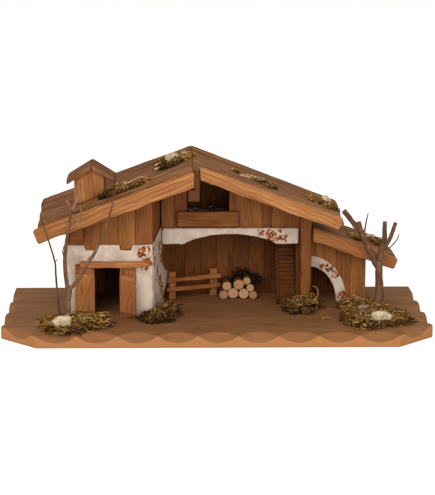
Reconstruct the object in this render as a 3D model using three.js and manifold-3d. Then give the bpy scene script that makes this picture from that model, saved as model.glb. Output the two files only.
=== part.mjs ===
// Wooden stable for a nativity scene: a plastered house with a pair of doors, an open
// stable under an arched beam, a lean-to with a round arch, a shallow gabled roof, a
// chimney, trees, moss and stones, all on one base board with gouged edges.
// Millimetres, +Z up, the front faces -Y. The origin is the centre of the base's underside.

import * as THREE from 'three';
import { mergeVertices } from 'three/addons/utils/BufferGeometryUtils.js';
import Module from 'manifold-3d';

const wasm = await Module();
wasm.setup();

// Clearances
const GAP = 0.3; // between two pieces that touch
const PIN_CLEARANCE = 0.3; // round a hinge pin in its hole
const SWING_CLEARANCE = 2; // round the path of a door leaf

// Base board
const BASE_WIDTH = 600;
const BASE_DEPTH = 290;
const BASE_THICKNESS = 17;
const BASE_CORNER = 52; // leg of each front chamfer
const GOUGE_RADIUS = 44.6;
const GOUGE_DEPTH = 10; // at the edge of the board
const GOUGE_REACH = 22; // onto the top of the board
const FRONT_GOUGE_PITCH = 55;
const SIDE_GOUGE_PITCH = 68;

// Plan of the walls: X to the right, Y to the back
const HOUSE_LEFT_X = -212;
const HOUSE_CORNER_X = -89.5;
const HOUSE_FRONT_Y = -38;
const SPLAY_BACK_X = -62.5; // where the splayed wall meets the back wall
const GABLE_FRONT_Y = 30;
const STABLE_RIGHT_X = 126;
const LEAN_FRONT_Y = 50;
const LEAN_RIGHT_X = 222;
const BACK_WALL_Y = 108;
const WALL = 8; // thickness of the wooden walls
const PLASTER = 3; // coat on the splayed wall
const PLASTER_HEIGHT = 104; // of the house front, above the base
const PLASTER_REAR_HEIGHT = 116; // of the splayed wall, where it meets the gable
const BOARD_PITCH = 24.5; // width of the wall boards, between grooves
const GROOVE = 1.2; // width of the groove between two boards

// Roofs
const ROOF_PITCH = THREE.MathUtils.degToRad(20);
const RIDGE_X = -29;
const RIDGE_HEIGHT = 217.5; // above the base
const ROOF_BOARD = 8;
const REAR_BOARD_RISE = 1.5; // the rear roof boards lie this much higher
const ROOF_FRONT_Y = -75;
const ROOF_BACK_Y = 143;
const LEFT_EAVE_X = -256;
const LEFT_FRONT_SETBACK = 7; // the front left board ends this much short of the eave
const RIGHT_EAVE_X = 180;
const RIGHT_FRONT_SETBACK = 3;
const FRONT_BOARD_SHARE = 0.39; // of the roof's depth, and the same for the middle boards
const RIGHT_FASCIA_RISE = 3; // above the roof boards
const RIGHT_FASCIA_SETBACK = 4; // from the eave
const FASCIA_THICKNESS = 12;
const FASCIA_HEIGHT = 21;
const HEWN_WAVE = 1; // waviness of a hewn edge
const LEAN_TOP_HEIGHT = 117.9; // of the lean-to roof beside the post, above the base
const LEAN_EAVE_X = 262;
const LEAN_FASCIA_Y = 10;
const LEAN_FASCIA_HEIGHT = 18.5;
const LEAN_FASCIA_OVERHANG = 3;
const LEAN_REAR_SETBACK = 2;

// Gable, arched beam and loft
const WINDOW_LEFT_X = -40.9;
const WINDOW_RIGHT_X = 20.4;
const WINDOW_SILL_HEIGHT = 138;
const WINDOW_TOP_HEIGHT = 183;
const BEAM_BOTTOM_HEIGHT = 92.3;
const BEAM_ARCH_LEFT_X = -45.4;
const BEAM_ARCH_RIGHT_X = 88;
const BEAM_ARCH_RISE = 14.6;
const BEAM_CROWN = 8.6; // height of the beam over the top of its arch
const BEAM_THICKNESS = 7.7;
const BEAM_TO_POST = 1.2;
const SILL_BOARD_LENGTH = 88.3;
const SILL_BOARD_HEIGHT = 22;
const SILL_BOARD_LIFT = 2.5; // above the arched beam
const LOFT_FLOOR_HEIGHT = 109; // underside, above the base
const LOFT_FLOOR_THICKNESS = 6;
const RIDGE_BEAM_WIDTH = 15.4;
const RIDGE_BEAM_HEIGHT = 15.4;
const RIDGE_BEAM_UNDERSIDE = 172; // above the base
const RIDGE_STRIP_WIDTH = 9.7;
const RIDGE_BEAM_SETBACK = 3; // behind the front of the fascias
const EAVE_BLOCK_LEFT_X = -204.8;
const EAVE_BLOCK_WIDTH = 19.5;
const EAVE_BLOCK_UNDERSIDE = 115; // above the base

// Post and lean-to arch
const POST_X = 131.1;
const POST_Y = 20;
const POST_TOP_WIDTH = 18.4;
const POST_FOOT_WIDTH = 14.6;
const POST_SIDES = 10;
const POST_WAVE = 0.03; // of the hewn surface, as a share of the radius
const POST_FLATNESS = 0.9; // depth as a share of the width
const ARCH_X = 138.6;
const ARCH_HALF_WIDTH = 40;
const ARCH_HEIGHT = 53.4;
const ARCH_BAND = 15.5; // width of the plaster round the arch
const ARCH_BAND_THICKNESS = 1.8;
const ARCH_STEPS = 24;

// Doorway and door leaves
const DOOR_X = -153.8;
const DOOR_WIDTH = 38.2;
const DOOR_HEIGHT = 73.3;
const JAMB_THICKNESS = 3;
const LEFT_JAMB_WIDTH = 26;
const RIGHT_JAMB_WIDTH = 21.5;
const JAMB_RISE = 4; // the jamb boards stand this much above the opening
const LINTEL_LEFT_X = -192;
const LINTEL_RIGHT_X = -92; // its pointed end
const LINTEL_HEIGHT = 9;
const LEAF_WIDTH = 26;
const LEAF_HEIGHT = 55;
const LEAF_LIFT = 9; // above the base
const LEAF_THICKNESS = 3;
const LEAF_BRACE = 1.5; // thickness of the ledge and the brace
const BRACE_WIDTH = 7;
const LEDGE_HEIGHT = 6;
const BRACE_INSET = 1.5; // of the ledge and the brace from the edges
const PIN_RADIUS = 0.8;
const PIN_SEAT = 4; // length of the pin in the base and in the lintel
const LINTEL_FRONT_WALL = 1.5; // wood in front of the outer pin
const LINTEL_POINT = 17; // length of its pointed end
const RIGHT_LEAF_OPEN = THREE.MathUtils.degToRad(36); // from lying flat on the wall
const TAB_INSET = 4.2; // from the left edge of its board
const TAB_WIDTH = 13.3;
const TAB_DROP = 7;
const TAB_SHOULDER = 4;
const PLANK_SETBACK = 1; // behind the plaster

// Chimney
const CHIMNEY_X = -178.5;
const CHIMNEY_WIDTH = 43;
const CHIMNEY_FRONT_Y = -18;
const CHIMNEY_DEPTH = 38;
const CHIMNEY_APEX_X = -175.4;
const CHIMNEY_APEX_HEIGHT = 223.5; // above the base
const CHIMNEY_CAP_SPAN = 66;
const CHIMNEY_CAP_OVERHANG = 8; // to the front and the back
const CHIMNEY_CAP_THICKNESS = 12;
const CHIMNEY_CAP_PITCH = THREE.MathUtils.degToRad(32);

// Stair
const STAIR_WIDTH = 27.4;
const STAIR_FOOT_Y = 32;
const STAIR_RISER = 7.5;
const STAIR_GOING = 3.5;
const STAIR_STEPS = 14;
const STAIR_BODY = 12; // thickness under the steps, measured level
const STRINGER_WIDTH = 2.7;
const STRINGER_PROUD = 2;

// Fence
const FENCE_LEFT_X = -62.5;
const FENCE_LEFT_Y = 67;
const FENCE_ANGLE = THREE.MathUtils.degToRad(21);
const FENCE_SPAN = 66;
const FENCE_POST_WIDTH = 10.5;
const FENCE_POST_DEPTH = 7;
const FENCE_POST_HEIGHT = 42;
const RAIL_LENGTH = 81;
const RAIL_OVERHANG = 8;
const RAIL_HEIGHT = 6.8;
const RAIL_THICKNESS = 4;
const RAIL_LOW = 13.5;
const RAIL_HIGH = 27.5;

// Firewood: the radii of the lower row and of the upper row
const LOWER_LOGS = [6.6, 7.5, 7.8, 6];
const UPPER_LOGS = [6.6, 7.8, 5.5];
const WOOD_PILE_X = 14.5;
const WOOD_PILE_Y = 65;
const LOG_LENGTH = 36;
const LOG_STAGGER = 1.5; // of the sawn ends
const LOG_BITE = 0.4; // the glued logs share this much

const FLOOR = BASE_THICKNESS;
const TAN_ROOF = Math.tan(ROOF_PITCH);
const COS_ROOF = Math.cos(ROOF_PITCH);
const RIDGE_Z = FLOOR + RIDGE_HEIGHT;
const BACK_Y = BACK_WALL_Y - GAP; // where the inner walls end
const FAR = 1000;

// Finishes
const finish = (color, roughness = 0.8) => new THREE.MeshStandardMaterial({
  color, roughness, metalness: 0,
});
const BASE_WOOD = finish(0x6e4a30);
const WALL_WOOD = finish(0x7d4f2b);
const DARK_WOOD = finish(0x532f17);
const ROOF_WOOD = finish(0x765437);
const HEWN_WOOD = finish(0xae7343);
const DOOR_WOOD = finish(0x9e673b);
const LINTEL_WOOD = finish(0xa77248);
const POST_WOOD = finish(0x7d4c28);
const LOG_WOOD = finish(0xb38965);
const WHITE_PLASTER = finish(0xc5b2a0, 0.95);
const DRY_MOSS = finish(0x7a6a3a, 1);
const PALE_STONE = finish(0xcbbd9c, 0.9);
const STRAW = finish(0x3a2c1c, 1);
const BARK = finish(0x5c4232, 0.9);

// Turns a closed geometry into a solid.
function solid(geometry) {
  const bare = geometry.index ? geometry.toNonIndexed() : geometry.clone();
  for (const name of Object.keys(bare.attributes)) {
    if (name !== 'position') bare.deleteAttribute(name);
  }
  const merged = mergeVertices(bare, 1e-4);
  return new wasm.Manifold(new wasm.Mesh({
    numProp: 3,
    vertProperties: new Float32Array(merged.attributes.position.array),
    triVerts: new Uint32Array(merged.index.array),
  }));
}

// Turns a solid back into a geometry.
function geometryOf(body) {
  const mesh = body.getMesh();
  const geometry = new THREE.BufferGeometry();
  geometry.setAttribute('position', new THREE.BufferAttribute(mesh.vertProperties, 3));
  geometry.setIndex(new THREE.BufferAttribute(mesh.triVerts, 1));
  geometry.computeVertexNormals();
  return geometry;
}

const stable = new THREE.Group();

// Adds a named piece to a group.
function add(name, body, material, group = stable) {
  const mesh = new THREE.Mesh(geometryOf(body), material);
  mesh.name = name;
  group.add(mesh);
}

function box(x0, x1, y0, y1, z0, z1) {
  const geometry = new THREE.BoxGeometry(x1 - x0, y1 - y0, z1 - z0);
  return solid(geometry.translate((x0 + x1) / 2, (y0 + y1) / 2, (z0 + z1) / 2));
}

function extrude(points, depth) {
  const shape = new THREE.Shape(points.map(([u, v]) => new THREE.Vector2(u, v)));
  return new THREE.ExtrudeGeometry(shape, { depth, bevelEnabled: false });
}

// An outline in X and Z, carried from y0 to y1.
function frontPlate(points, y0, y1) {
  return solid(extrude(points, y1 - y0).rotateX(Math.PI / 2).translate(0, y1, 0));
}

// An outline in X and Y, carried from z0 to z1.
function planPlate(points, z0, z1) {
  return solid(extrude(points, z1 - z0).translate(0, 0, z0));
}

// An outline in Y and Z, carried from x0 to x1.
function sidePlate(points, x0, x1) {
  const turn = new THREE.Matrix4().makeBasis(
    new THREE.Vector3(0, 1, 0), new THREE.Vector3(0, 0, 1), new THREE.Vector3(1, 0, 0));
  return solid(extrude(points, x1 - x0).applyMatrix4(turn).translate(x0, 0, 0));
}

function cylinderAlong(from, to, radius, sides) {
  const axis = new THREE.Vector3().subVectors(to, from);
  const geometry = new THREE.CylinderGeometry(radius, radius, axis.length(), sides);
  const turn = new THREE.Quaternion().setFromUnitVectors(
    new THREE.Vector3(0, 1, 0), axis.clone().normalize());
  const middle = new THREE.Vector3().addVectors(from, to).multiplyScalar(0.5);
  return solid(geometry.applyQuaternion(turn).translate(middle.x, middle.y, middle.z));
}

const joined = (pieces) => pieces.reduce((all, piece) => all.add(piece));

// Heights of the roofs over a given X
const mainTop = (x) => RIDGE_Z - TAN_ROOF * Math.abs(x - RIDGE_X);
const mainUnder = (x) => mainTop(x) - ROOF_BOARD / COS_ROOF;
const POST_RIGHT_X = POST_X + POST_TOP_WIDTH / 2;
const LEAN_START_X = POST_RIGHT_X + GAP;
const leanTop = (x) => FLOOR + LEAN_TOP_HEIGHT - TAN_ROOF * (x - LEAN_START_X);
const leanUnder = (x) => leanTop(x) - ROOF_BOARD / COS_ROOF;
const SEAT_DROP = GAP / COS_ROOF;

// Everything below the main roof, less a gap.
function belowMainRoof(body) {
  const left = RIDGE_X - FAR;
  const right = RIDGE_X + FAR;
  const outline = [[left, -FAR], [right, -FAR], [right, mainUnder(right) - SEAT_DROP],
    [RIDGE_X, mainUnder(RIDGE_X) - SEAT_DROP], [left, mainUnder(left) - SEAT_DROP]];
  return body.intersect(frontPlate(outline, -FAR, FAR));
}

// Everything below the lean-to roof, less a gap.
function belowLeanRoof(body) {
  const left = LEAN_START_X - FAR;
  const right = LEAN_START_X + FAR;
  const outline = [[left, -FAR], [right, -FAR], [right, leanUnder(right) - SEAT_DROP],
    [left, leanUnder(left) - SEAT_DROP]];
  return body.intersect(frontPlate(outline, -FAR, FAR));
}

// Cuts upright V grooves into a face: axis 'x' steps along X on a face at a given Y.
function grooveFace(body, axis, start, end, face) {
  let result = body;
  for (let at = start + BOARD_PITCH; at < end - GROOVE; at += BOARD_PITCH) {
    const diamond = [[at - GROOVE / 2, face], [at, face - GROOVE / 2],
      [at + GROOVE / 2, face], [at, face + GROOVE / 2]];
    const outline = axis === 'x' ? diamond : diamond.map(([u, v]) => [v, u]).reverse();
    result = result.subtract(planPlate(outline, -FAR, FAR));
  }
  return result;
}

// One gouge cut: a cylinder that runs out over the edge and dips towards it.
function gougeCut(x, y, outward) {
  const dip = Math.atan2(GOUGE_DEPTH, GOUGE_REACH);
  const along = new THREE.Vector3(
    outward.x * Math.cos(dip), outward.y * Math.cos(dip), -Math.sin(dip));
  const up = new THREE.Vector3(outward.x * Math.sin(dip), outward.y * Math.sin(dip), Math.cos(dip));
  const centre = new THREE.Vector3(x, y, FLOOR - GOUGE_DEPTH).addScaledVector(up, GOUGE_RADIUS);
  const half = GOUGE_RADIUS * 2;
  const from = centre.clone().addScaledVector(along, -half);
  const to = centre.clone().addScaledVector(along, half);
  return cylinderAlong(from, to, GOUGE_RADIUS, 40);
}

// Splayed wall: its stable-side face runs from the house corner to the back wall.
const SPLAY_SLOPE = (SPLAY_BACK_X - HOUSE_CORNER_X) / (BACK_WALL_Y - HOUSE_FRONT_Y);
const splayX = (y) => HOUSE_CORNER_X + SPLAY_SLOPE * (y - HOUSE_FRONT_Y);
const HOUSE_BACK_OF_FRONT = HOUSE_FRONT_Y + WALL;

// Hinge axes: each leaf lies over the jambs, and the right one laps over the left one.
const LEFT_HINGE_X = DOOR_X - DOOR_WIDTH / 2;
const RIGHT_HINGE_X = DOOR_X + DOOR_WIDTH / 2;
const JAMB_FRONT_Y = HOUSE_FRONT_Y - GAP - JAMB_THICKNESS;
const LEFT_HINGE_Y = JAMB_FRONT_Y - GAP - LEAF_THICKNESS / 2;
const RIGHT_HINGE_Y = LEFT_HINGE_Y - LEAF_THICKNESS - LEAF_BRACE - GAP;
const LEAF_SWING = LEAF_WIDTH + SWING_CLEARANCE;

function baseBoard() {
  const w = BASE_WIDTH / 2;
  const d = BASE_DEPTH / 2;
  const inner = w - BASE_CORNER;
  const cornerY = BASE_CORNER - d;
  let body = planPlate([[-inner, -d], [inner, -d], [w, cornerY], [w, d], [-w, d], [-w, cornerY]],
    0, BASE_THICKNESS);
  const count = Math.round(2 * inner / FRONT_GOUGE_PITCH);
  const pitch = 2 * inner / count;
  for (let k = 0; k < count; k += 1) {
    body = body.subtract(gougeCut(-inner + (k + 0.5) * pitch, -d, new THREE.Vector2(0, -1)));
  }
  for (const side of [-1, 1]) {
    const slant = new THREE.Vector2(side, -1).normalize();
    body = body.subtract(gougeCut(side * (w - BASE_CORNER / 2), cornerY - BASE_CORNER / 2, slant));
    for (let y = cornerY + SIDE_GOUGE_PITCH / 2; y < d + SIDE_GOUGE_PITCH / 4; y += SIDE_GOUGE_PITCH) {
      body = body.subtract(gougeCut(side * w, y, new THREE.Vector2(side, 0)));
    }
  }
  for (const [x, y] of [[LEFT_HINGE_X, LEFT_HINGE_Y], [RIGHT_HINGE_X, RIGHT_HINGE_Y]]) {
    body = body.subtract(pinHole(x, y, FLOOR - PIN_SEAT - GAP, FLOOR + GAP));
  }
  return body;
}

function pinHole(x, y, z0, z1) {
  return cylinderAlong(new THREE.Vector3(x, y, z0), new THREE.Vector3(x, y, z1),
    PIN_RADIUS + PIN_CLEARANCE, 12);
}

// The back wall closes the house, the stable and the lean-to.
function backWall() {
  const y0 = BACK_WALL_Y;
  const y1 = BACK_WALL_Y + WALL;
  const z0 = FLOOR + GAP;
  const main = belowMainRoof(box(HOUSE_LEFT_X, STABLE_RIGHT_X, y0, y1, z0, FAR));
  const lean = belowLeanRoof(box(STABLE_RIGHT_X - WALL, LEAN_RIGHT_X, y0, y1, z0, FAR));
  let body = main.add(lean);
  body = grooveFace(body, 'x', HOUSE_LEFT_X, LEAN_RIGHT_X, y1);
  return grooveFace(body, 'x', HOUSE_LEFT_X, LEAN_RIGHT_X, y0);
}

function houseLeftWall() {
  const body = belowMainRoof(box(HOUSE_LEFT_X, HOUSE_LEFT_X + WALL,
    HOUSE_BACK_OF_FRONT + GAP, BACK_Y, FLOOR + GAP, FAR));
  return grooveFace(body, 'y', HOUSE_BACK_OF_FRONT, BACK_Y, HOUSE_LEFT_X);
}

// The plaster front has a doorway, and notches where two boards hang lower.
const PLANK_COUNT = Math.round((HOUSE_CORNER_X - HOUSE_LEFT_X) / BOARD_PITCH);
const PLANK_PITCH = (HOUSE_CORNER_X - HOUSE_LEFT_X) / PLANK_COUNT;
const PLASTER_TOP = FLOOR + PLASTER_HEIGHT;
const tabbed = (k) => k % 2 === 1;

// The lower edge of one board, drawn from left to right at the height z.
function plankFoot(k, z, side) {
  const x0 = HOUSE_LEFT_X + k * PLANK_PITCH;
  const tab = x0 + TAB_INSET;
  const low = z - TAB_DROP;
  const shoulder = Math.min(TAB_SHOULDER, TAB_INSET - 2 * GAP);
  return [[tab - shoulder - side, z], [tab - side, low],
    [tab + TAB_WIDTH + side, low], [tab + TAB_WIDTH + shoulder + side, z]];
}

function housePlaster() {
  const left = DOOR_X - DOOR_WIDTH / 2;
  const right = DOOR_X + DOOR_WIDTH / 2;
  const z0 = FLOOR + GAP;
  const head = FLOOR + DOOR_HEIGHT;
  const top = [];
  for (let k = 0; k < PLANK_COUNT; k += 1) {
    if (tabbed(k)) top.push(...plankFoot(k, PLASTER_TOP, GAP));
  }
  const outline = [[HOUSE_LEFT_X, z0], [left, z0], [left, head], [right, head], [right, z0],
    [HOUSE_CORNER_X, z0], [HOUSE_CORNER_X, PLASTER_TOP], ...top.reverse(),
    [HOUSE_LEFT_X, PLASTER_TOP]];
  return frontPlate(outline, HOUSE_FRONT_Y, HOUSE_BACK_OF_FRONT);
}

function housePlank(k) {
  const x0 = HOUSE_LEFT_X + k * PLANK_PITCH + (k > 0 ? GAP / 2 : 0);
  const x1 = HOUSE_LEFT_X + (k + 1) * PLANK_PITCH - (k < PLANK_COUNT - 1 ? GAP / 2 : 0);
  const foot = PLASTER_TOP + GAP;
  const tab = tabbed(k) ? plankFoot(k, foot, 0) : [];
  const outline = [[x0, foot], ...tab, [x1, foot], [x1, FAR], [x0, FAR]];
  return belowMainRoof(frontPlate(outline, HOUSE_FRONT_Y + PLANK_SETBACK, HOUSE_BACK_OF_FRONT));
}

// The wooden core of the splayed wall, behind the plaster coat.
function splayWall() {
  const y0 = HOUSE_BACK_OF_FRONT + GAP;
  const out = PLASTER + GAP;
  const outline = [[splayX(y0) - out - WALL, y0], [splayX(y0) - out, y0],
    [splayX(BACK_Y) - out, BACK_Y], [splayX(BACK_Y) - out - WALL, BACK_Y]];
  return belowMainRoof(planPlate(outline, FLOOR + GAP, FAR));
}

// The plaster coat: its top climbs to the gable, and its rear edge is broken.
function splayPlaster() {
  const y0 = HOUSE_BACK_OF_FRONT + GAP;
  const yGable = GABLE_FRONT_Y - GAP;
  const behind = (share) => GABLE_FRONT_Y + share * (BACK_WALL_Y - GABLE_FRONT_Y);
  const broken = [[0.2, 0], [0.15, 0.14], [0.4, 0.24], [0.78, 0.32], [0.7, 0.42],
    [0.35, 0.5], [0.12, 0.62], [0.02, 0.78]];
  const edge = broken.map(([share, level]) => [behind(share),
    FLOOR + GAP + level * BEAM_BOTTOM_HEIGHT]);
  const top = FLOOR + PLASTER_REAR_HEIGHT;
  const outline = [[y0, FLOOR + GAP], ...edge, [yGable, FLOOR + BEAM_BOTTOM_HEIGHT],
    [yGable, top], [y0, PLASTER_TOP]];
  const sheet = sidePlate(outline, -FAR, FAR);
  const coat = planPlate([[splayX(y0) - PLASTER, y0], [splayX(y0), y0],
    [splayX(BACK_Y), BACK_Y], [splayX(BACK_Y) - PLASTER, BACK_Y]], FLOOR, FAR);
  return coat.intersect(sheet);
}

// Ridge beam: a square purlin with a strip on it that fills the ridge.
const RIDGE_STRIP_RIGHT_X = RIDGE_X + RIDGE_STRIP_WIDTH / 2;
const RIDGE_STRIP_LEFT_X = RIDGE_X - RIDGE_STRIP_WIDTH / 2;
const RIDGE_BEAM_Z = FLOOR + RIDGE_BEAM_UNDERSIDE;
const FASCIA_BACK_Y = ROOF_FRONT_Y + FASCIA_THICKNESS;

function ridgeBeam() {
  const y0 = ROOF_FRONT_Y + RIDGE_BEAM_SETBACK;
  const shelf = RIDGE_BEAM_Z + RIDGE_BEAM_HEIGHT;
  const purlin = box(RIDGE_STRIP_RIGHT_X - RIDGE_BEAM_WIDTH, RIDGE_STRIP_RIGHT_X, y0, BACK_Y,
    RIDGE_BEAM_Z, shelf);
  const strip = belowMainRoof(box(RIDGE_STRIP_LEFT_X, RIDGE_STRIP_RIGHT_X, y0, BACK_Y,
    shelf - 1, FAR));
  const nose = box(RIDGE_STRIP_LEFT_X, RIDGE_STRIP_RIGHT_X, y0, FASCIA_BACK_Y, shelf - 1, RIDGE_Z);
  return purlin.add(strip).add(nose);
}

// The hole that the ridge beam leaves in a wall.
function ridgeBeamHole() {
  const shelf = RIDGE_BEAM_Z + RIDGE_BEAM_HEIGHT + GAP;
  const right = RIDGE_STRIP_RIGHT_X + GAP;
  const purlin = box(right - RIDGE_BEAM_WIDTH - 2 * GAP, right, -FAR, FAR, RIDGE_BEAM_Z - GAP, shelf);
  return purlin.add(box(RIDGE_STRIP_LEFT_X - GAP, right, -FAR, FAR, shelf - 1, FAR));
}

const GABLE_BACK_Y = GABLE_FRONT_Y + WALL;
const LOFT_FLOOR_Z = FLOOR + LOFT_FLOOR_HEIGHT;

function gableWall() {
  const left = splayX(GABLE_BACK_Y) + GAP;
  let body = belowMainRoof(box(left, STABLE_RIGHT_X, GABLE_FRONT_Y, GABLE_BACK_Y,
    LOFT_FLOOR_Z, FAR));
  body = body.subtract(box(WINDOW_LEFT_X, WINDOW_RIGHT_X, -FAR, FAR,
    FLOOR + WINDOW_SILL_HEIGHT, FLOOR + WINDOW_TOP_HEIGHT));
  body = body.subtract(ridgeBeamHole());
  return grooveFace(body, 'x', left - BOARD_PITCH / 2, STABLE_RIGHT_X, GABLE_FRONT_Y);
}

// The plastered beam over the stable: straight ends and a low arch between them.
const BEAM_LEFT_X = splayX(GABLE_FRONT_Y) + GAP;
const BEAM_RIGHT_X = POST_X - POST_TOP_WIDTH / 2 - BEAM_TO_POST;
const BEAM_BACK_Y = GABLE_FRONT_Y - GAP;
const BEAM_TOP_Z = FLOOR + BEAM_BOTTOM_HEIGHT + BEAM_ARCH_RISE + BEAM_CROWN;

function archedBeam() {
  const z = FLOOR + BEAM_BOTTOM_HEIGHT;
  const middle = (BEAM_ARCH_LEFT_X + BEAM_ARCH_RIGHT_X) / 2;
  const half = (BEAM_ARCH_RIGHT_X - BEAM_ARCH_LEFT_X) / 2;
  const arch = new THREE.SplineCurve([
    new THREE.Vector2(middle - half, z), new THREE.Vector2(middle - 0.7 * half, z + 0.57 * BEAM_ARCH_RISE),
    new THREE.Vector2(middle - 0.45 * half, z + 0.82 * BEAM_ARCH_RISE),
    new THREE.Vector2(middle, z + BEAM_ARCH_RISE),
    new THREE.Vector2(middle + 0.45 * half, z + 0.82 * BEAM_ARCH_RISE),
    new THREE.Vector2(middle + 0.7 * half, z + 0.57 * BEAM_ARCH_RISE),
    new THREE.Vector2(middle + half, z)]);
  const curve = arch.getPoints(ARCH_STEPS).map((p) => [p.x, p.y]);
  const slant = 4;
  return frontPlate([[BEAM_LEFT_X, z], ...curve, [BEAM_RIGHT_X, z], [BEAM_RIGHT_X, BEAM_TOP_Z],
    [BEAM_LEFT_X + slant, BEAM_TOP_Z], [BEAM_LEFT_X + slant / 2, BEAM_TOP_Z - slant]],
  BEAM_BACK_Y - BEAM_THICKNESS, BEAM_BACK_Y);
}

function sillBoard() {
  const middle = (WINDOW_LEFT_X + WINDOW_RIGHT_X) / 2;
  const z0 = BEAM_TOP_Z + SILL_BOARD_LIFT;
  return box(middle - SILL_BOARD_LENGTH / 2, middle + SILL_BOARD_LENGTH / 2,
    BEAM_BACK_Y - BEAM_THICKNESS, BEAM_BACK_Y, z0, z0 + SILL_BOARD_HEIGHT);
}

const RIGHT_WALL_X = STABLE_RIGHT_X - WALL;

function loftFloor() {
  const y0 = GABLE_BACK_Y + GAP;
  return planPlate([[splayX(y0) + GAP, y0], [RIGHT_WALL_X - GAP, y0],
    [RIGHT_WALL_X - GAP, BACK_Y], [splayX(BACK_Y) + GAP, BACK_Y]],
  LOFT_FLOOR_Z, LOFT_FLOOR_Z + LOFT_FLOOR_THICKNESS);
}

function stableRightWall() {
  return belowMainRoof(box(RIGHT_WALL_X, STABLE_RIGHT_X, GABLE_BACK_Y + GAP, BACK_Y,
    FLOOR + GAP, FAR));
}

// A ring of points round a centre: its radius follows a function of the angle.
function ring(sides, radius) {
  return Array.from({ length: sides }, (_, k) => {
    const angle = 2 * Math.PI * k / sides;
    return [radius(angle) * Math.cos(angle), radius(angle) * Math.sin(angle)];
  });
}

// Joins rings of equal count, with a pole at each end, into one closed skin.
function skin(rings, firstPole, lastPole) {
  const sides = rings[0].length;
  const position = [firstPole, ...rings.flat(), lastPole].flat();
  const index = [];
  const at = (r, k) => 1 + r * sides + (k % sides);
  const end = 1 + rings.length * sides;
  for (let k = 0; k < sides; k += 1) {
    index.push(0, at(0, k + 1), at(0, k));
    index.push(end, at(rings.length - 1, k), at(rings.length - 1, k + 1));
    for (let r = 0; r + 1 < rings.length; r += 1) {
      index.push(at(r, k), at(r, k + 1), at(r + 1, k + 1));
      index.push(at(r, k), at(r + 1, k + 1), at(r + 1, k));
    }
  }
  const geometry = new THREE.BufferGeometry();
  geometry.setAttribute('position', new THREE.Float32BufferAttribute(position, 3));
  geometry.setIndex(index);
  return solid(geometry);
}

// The hewn post: many-sided, thicker at the top, with a slightly wavy surface.
function cornerPost() {
  const z0 = FLOOR + GAP;
  const z1 = mainTop(POST_X);
  const levels = 9;
  const rings = Array.from({ length: levels }, (_, k) => {
    const share = k / (levels - 1);
    const width = THREE.MathUtils.lerp(POST_FOOT_WIDTH, POST_TOP_WIDTH, share);
    const wave = 1 - POST_WAVE * (1 + Math.sin(9 * share + 1));
    const shape = ring(POST_SIDES, (angle) => width / 2 * wave * (1 - POST_WAVE * Math.sin(2 * angle) ** 2));
    return shape.map(([x, y]) => [POST_X + x, POST_Y + y * POST_FLATNESS, z0 + share * (z1 - z0)]);
  });
  return belowMainRoof(skin(rings, [POST_X, POST_Y, z0], [POST_X, POST_Y, z1]));
}

// Points of a half ellipse over the floor, from right to left.
function archCurve(halfWidth, height) {
  const curve = new THREE.EllipseCurve(ARCH_X, FLOOR, halfWidth, height, 0, Math.PI);
  return curve.getPoints(ARCH_STEPS).map((p) => [p.x, p.y]);
}

const archVoid = (grow, rise) => frontPlate([[ARCH_X + ARCH_HALF_WIDTH + grow, FLOOR - WALL],
  ...archCurve(ARCH_HALF_WIDTH + grow, ARCH_HEIGHT + rise),
  [ARCH_X - ARCH_HALF_WIDTH - grow, FLOOR - WALL]], -FAR, FAR);

function leanFrontWall() {
  const x0 = STABLE_RIGHT_X + GAP;
  const wall = belowLeanRoof(box(x0, LEAN_RIGHT_X, LEAN_FRONT_Y, LEAN_FRONT_Y + WALL,
    FLOOR + GAP, FAR));
  return grooveFace(wall, 'x', ARCH_X, LEAN_RIGHT_X, LEAN_FRONT_Y).subtract(archVoid(0, 0));
}

function archPlaster() {
  const y1 = LEAN_FRONT_Y - GAP;
  const sheet = box(STABLE_RIGHT_X + GAP, FAR, y1 - ARCH_BAND_THICKNESS, y1, FLOOR + GAP, FAR);
  return sheet.intersect(archVoid(ARCH_BAND, ARCH_BAND)).subtract(archVoid(0, 0));
}

function leanSideWall() {
  const body = belowLeanRoof(box(LEAN_RIGHT_X - WALL, LEAN_RIGHT_X, LEAN_FRONT_Y + WALL + GAP,
    BACK_Y, FLOOR + GAP, FAR));
  return grooveFace(body, 'y', LEAN_FRONT_Y, BACK_Y, LEAN_RIGHT_X);
}

// A short block on the front boards that carries the eave.
function eaveBlock() {
  return belowMainRoof(box(EAVE_BLOCK_LEFT_X, EAVE_BLOCK_LEFT_X + EAVE_BLOCK_WIDTH,
    FASCIA_BACK_Y + GAP, HOUSE_FRONT_Y + PLANK_SETBACK - GAP, FLOOR + EAVE_BLOCK_UNDERSIDE, FAR));
}

// One roof board of the main roof, mitred at the ridge and square at the eave.
function roofBoard(side, eaveX, y0, y1, rise) {
  const ridge = RIDGE_X + side * GAP / 2;
  const thick = ROOF_BOARD + rise;
  const lean = thick * Math.sin(ROOF_PITCH);
  const lift = rise / COS_ROOF;
  const outline = [[ridge, mainUnder(ridge)], [ridge, mainTop(ridge) + lift],
    [eaveX, mainTop(eaveX) + lift], [eaveX - side * lean, mainUnder(eaveX - side * lean)]];
  return frontPlate(side > 0 ? outline : outline.reverse(), y0, y1);
}

// The lower edge of a hewn bar: a slow wave along its length.
const hewnWave = (t, phase) => HEWN_WAVE * (Math.sin(t / 11 + phase) + 0.6 * Math.sin(t / 5.3 + 2 * phase));

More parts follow.
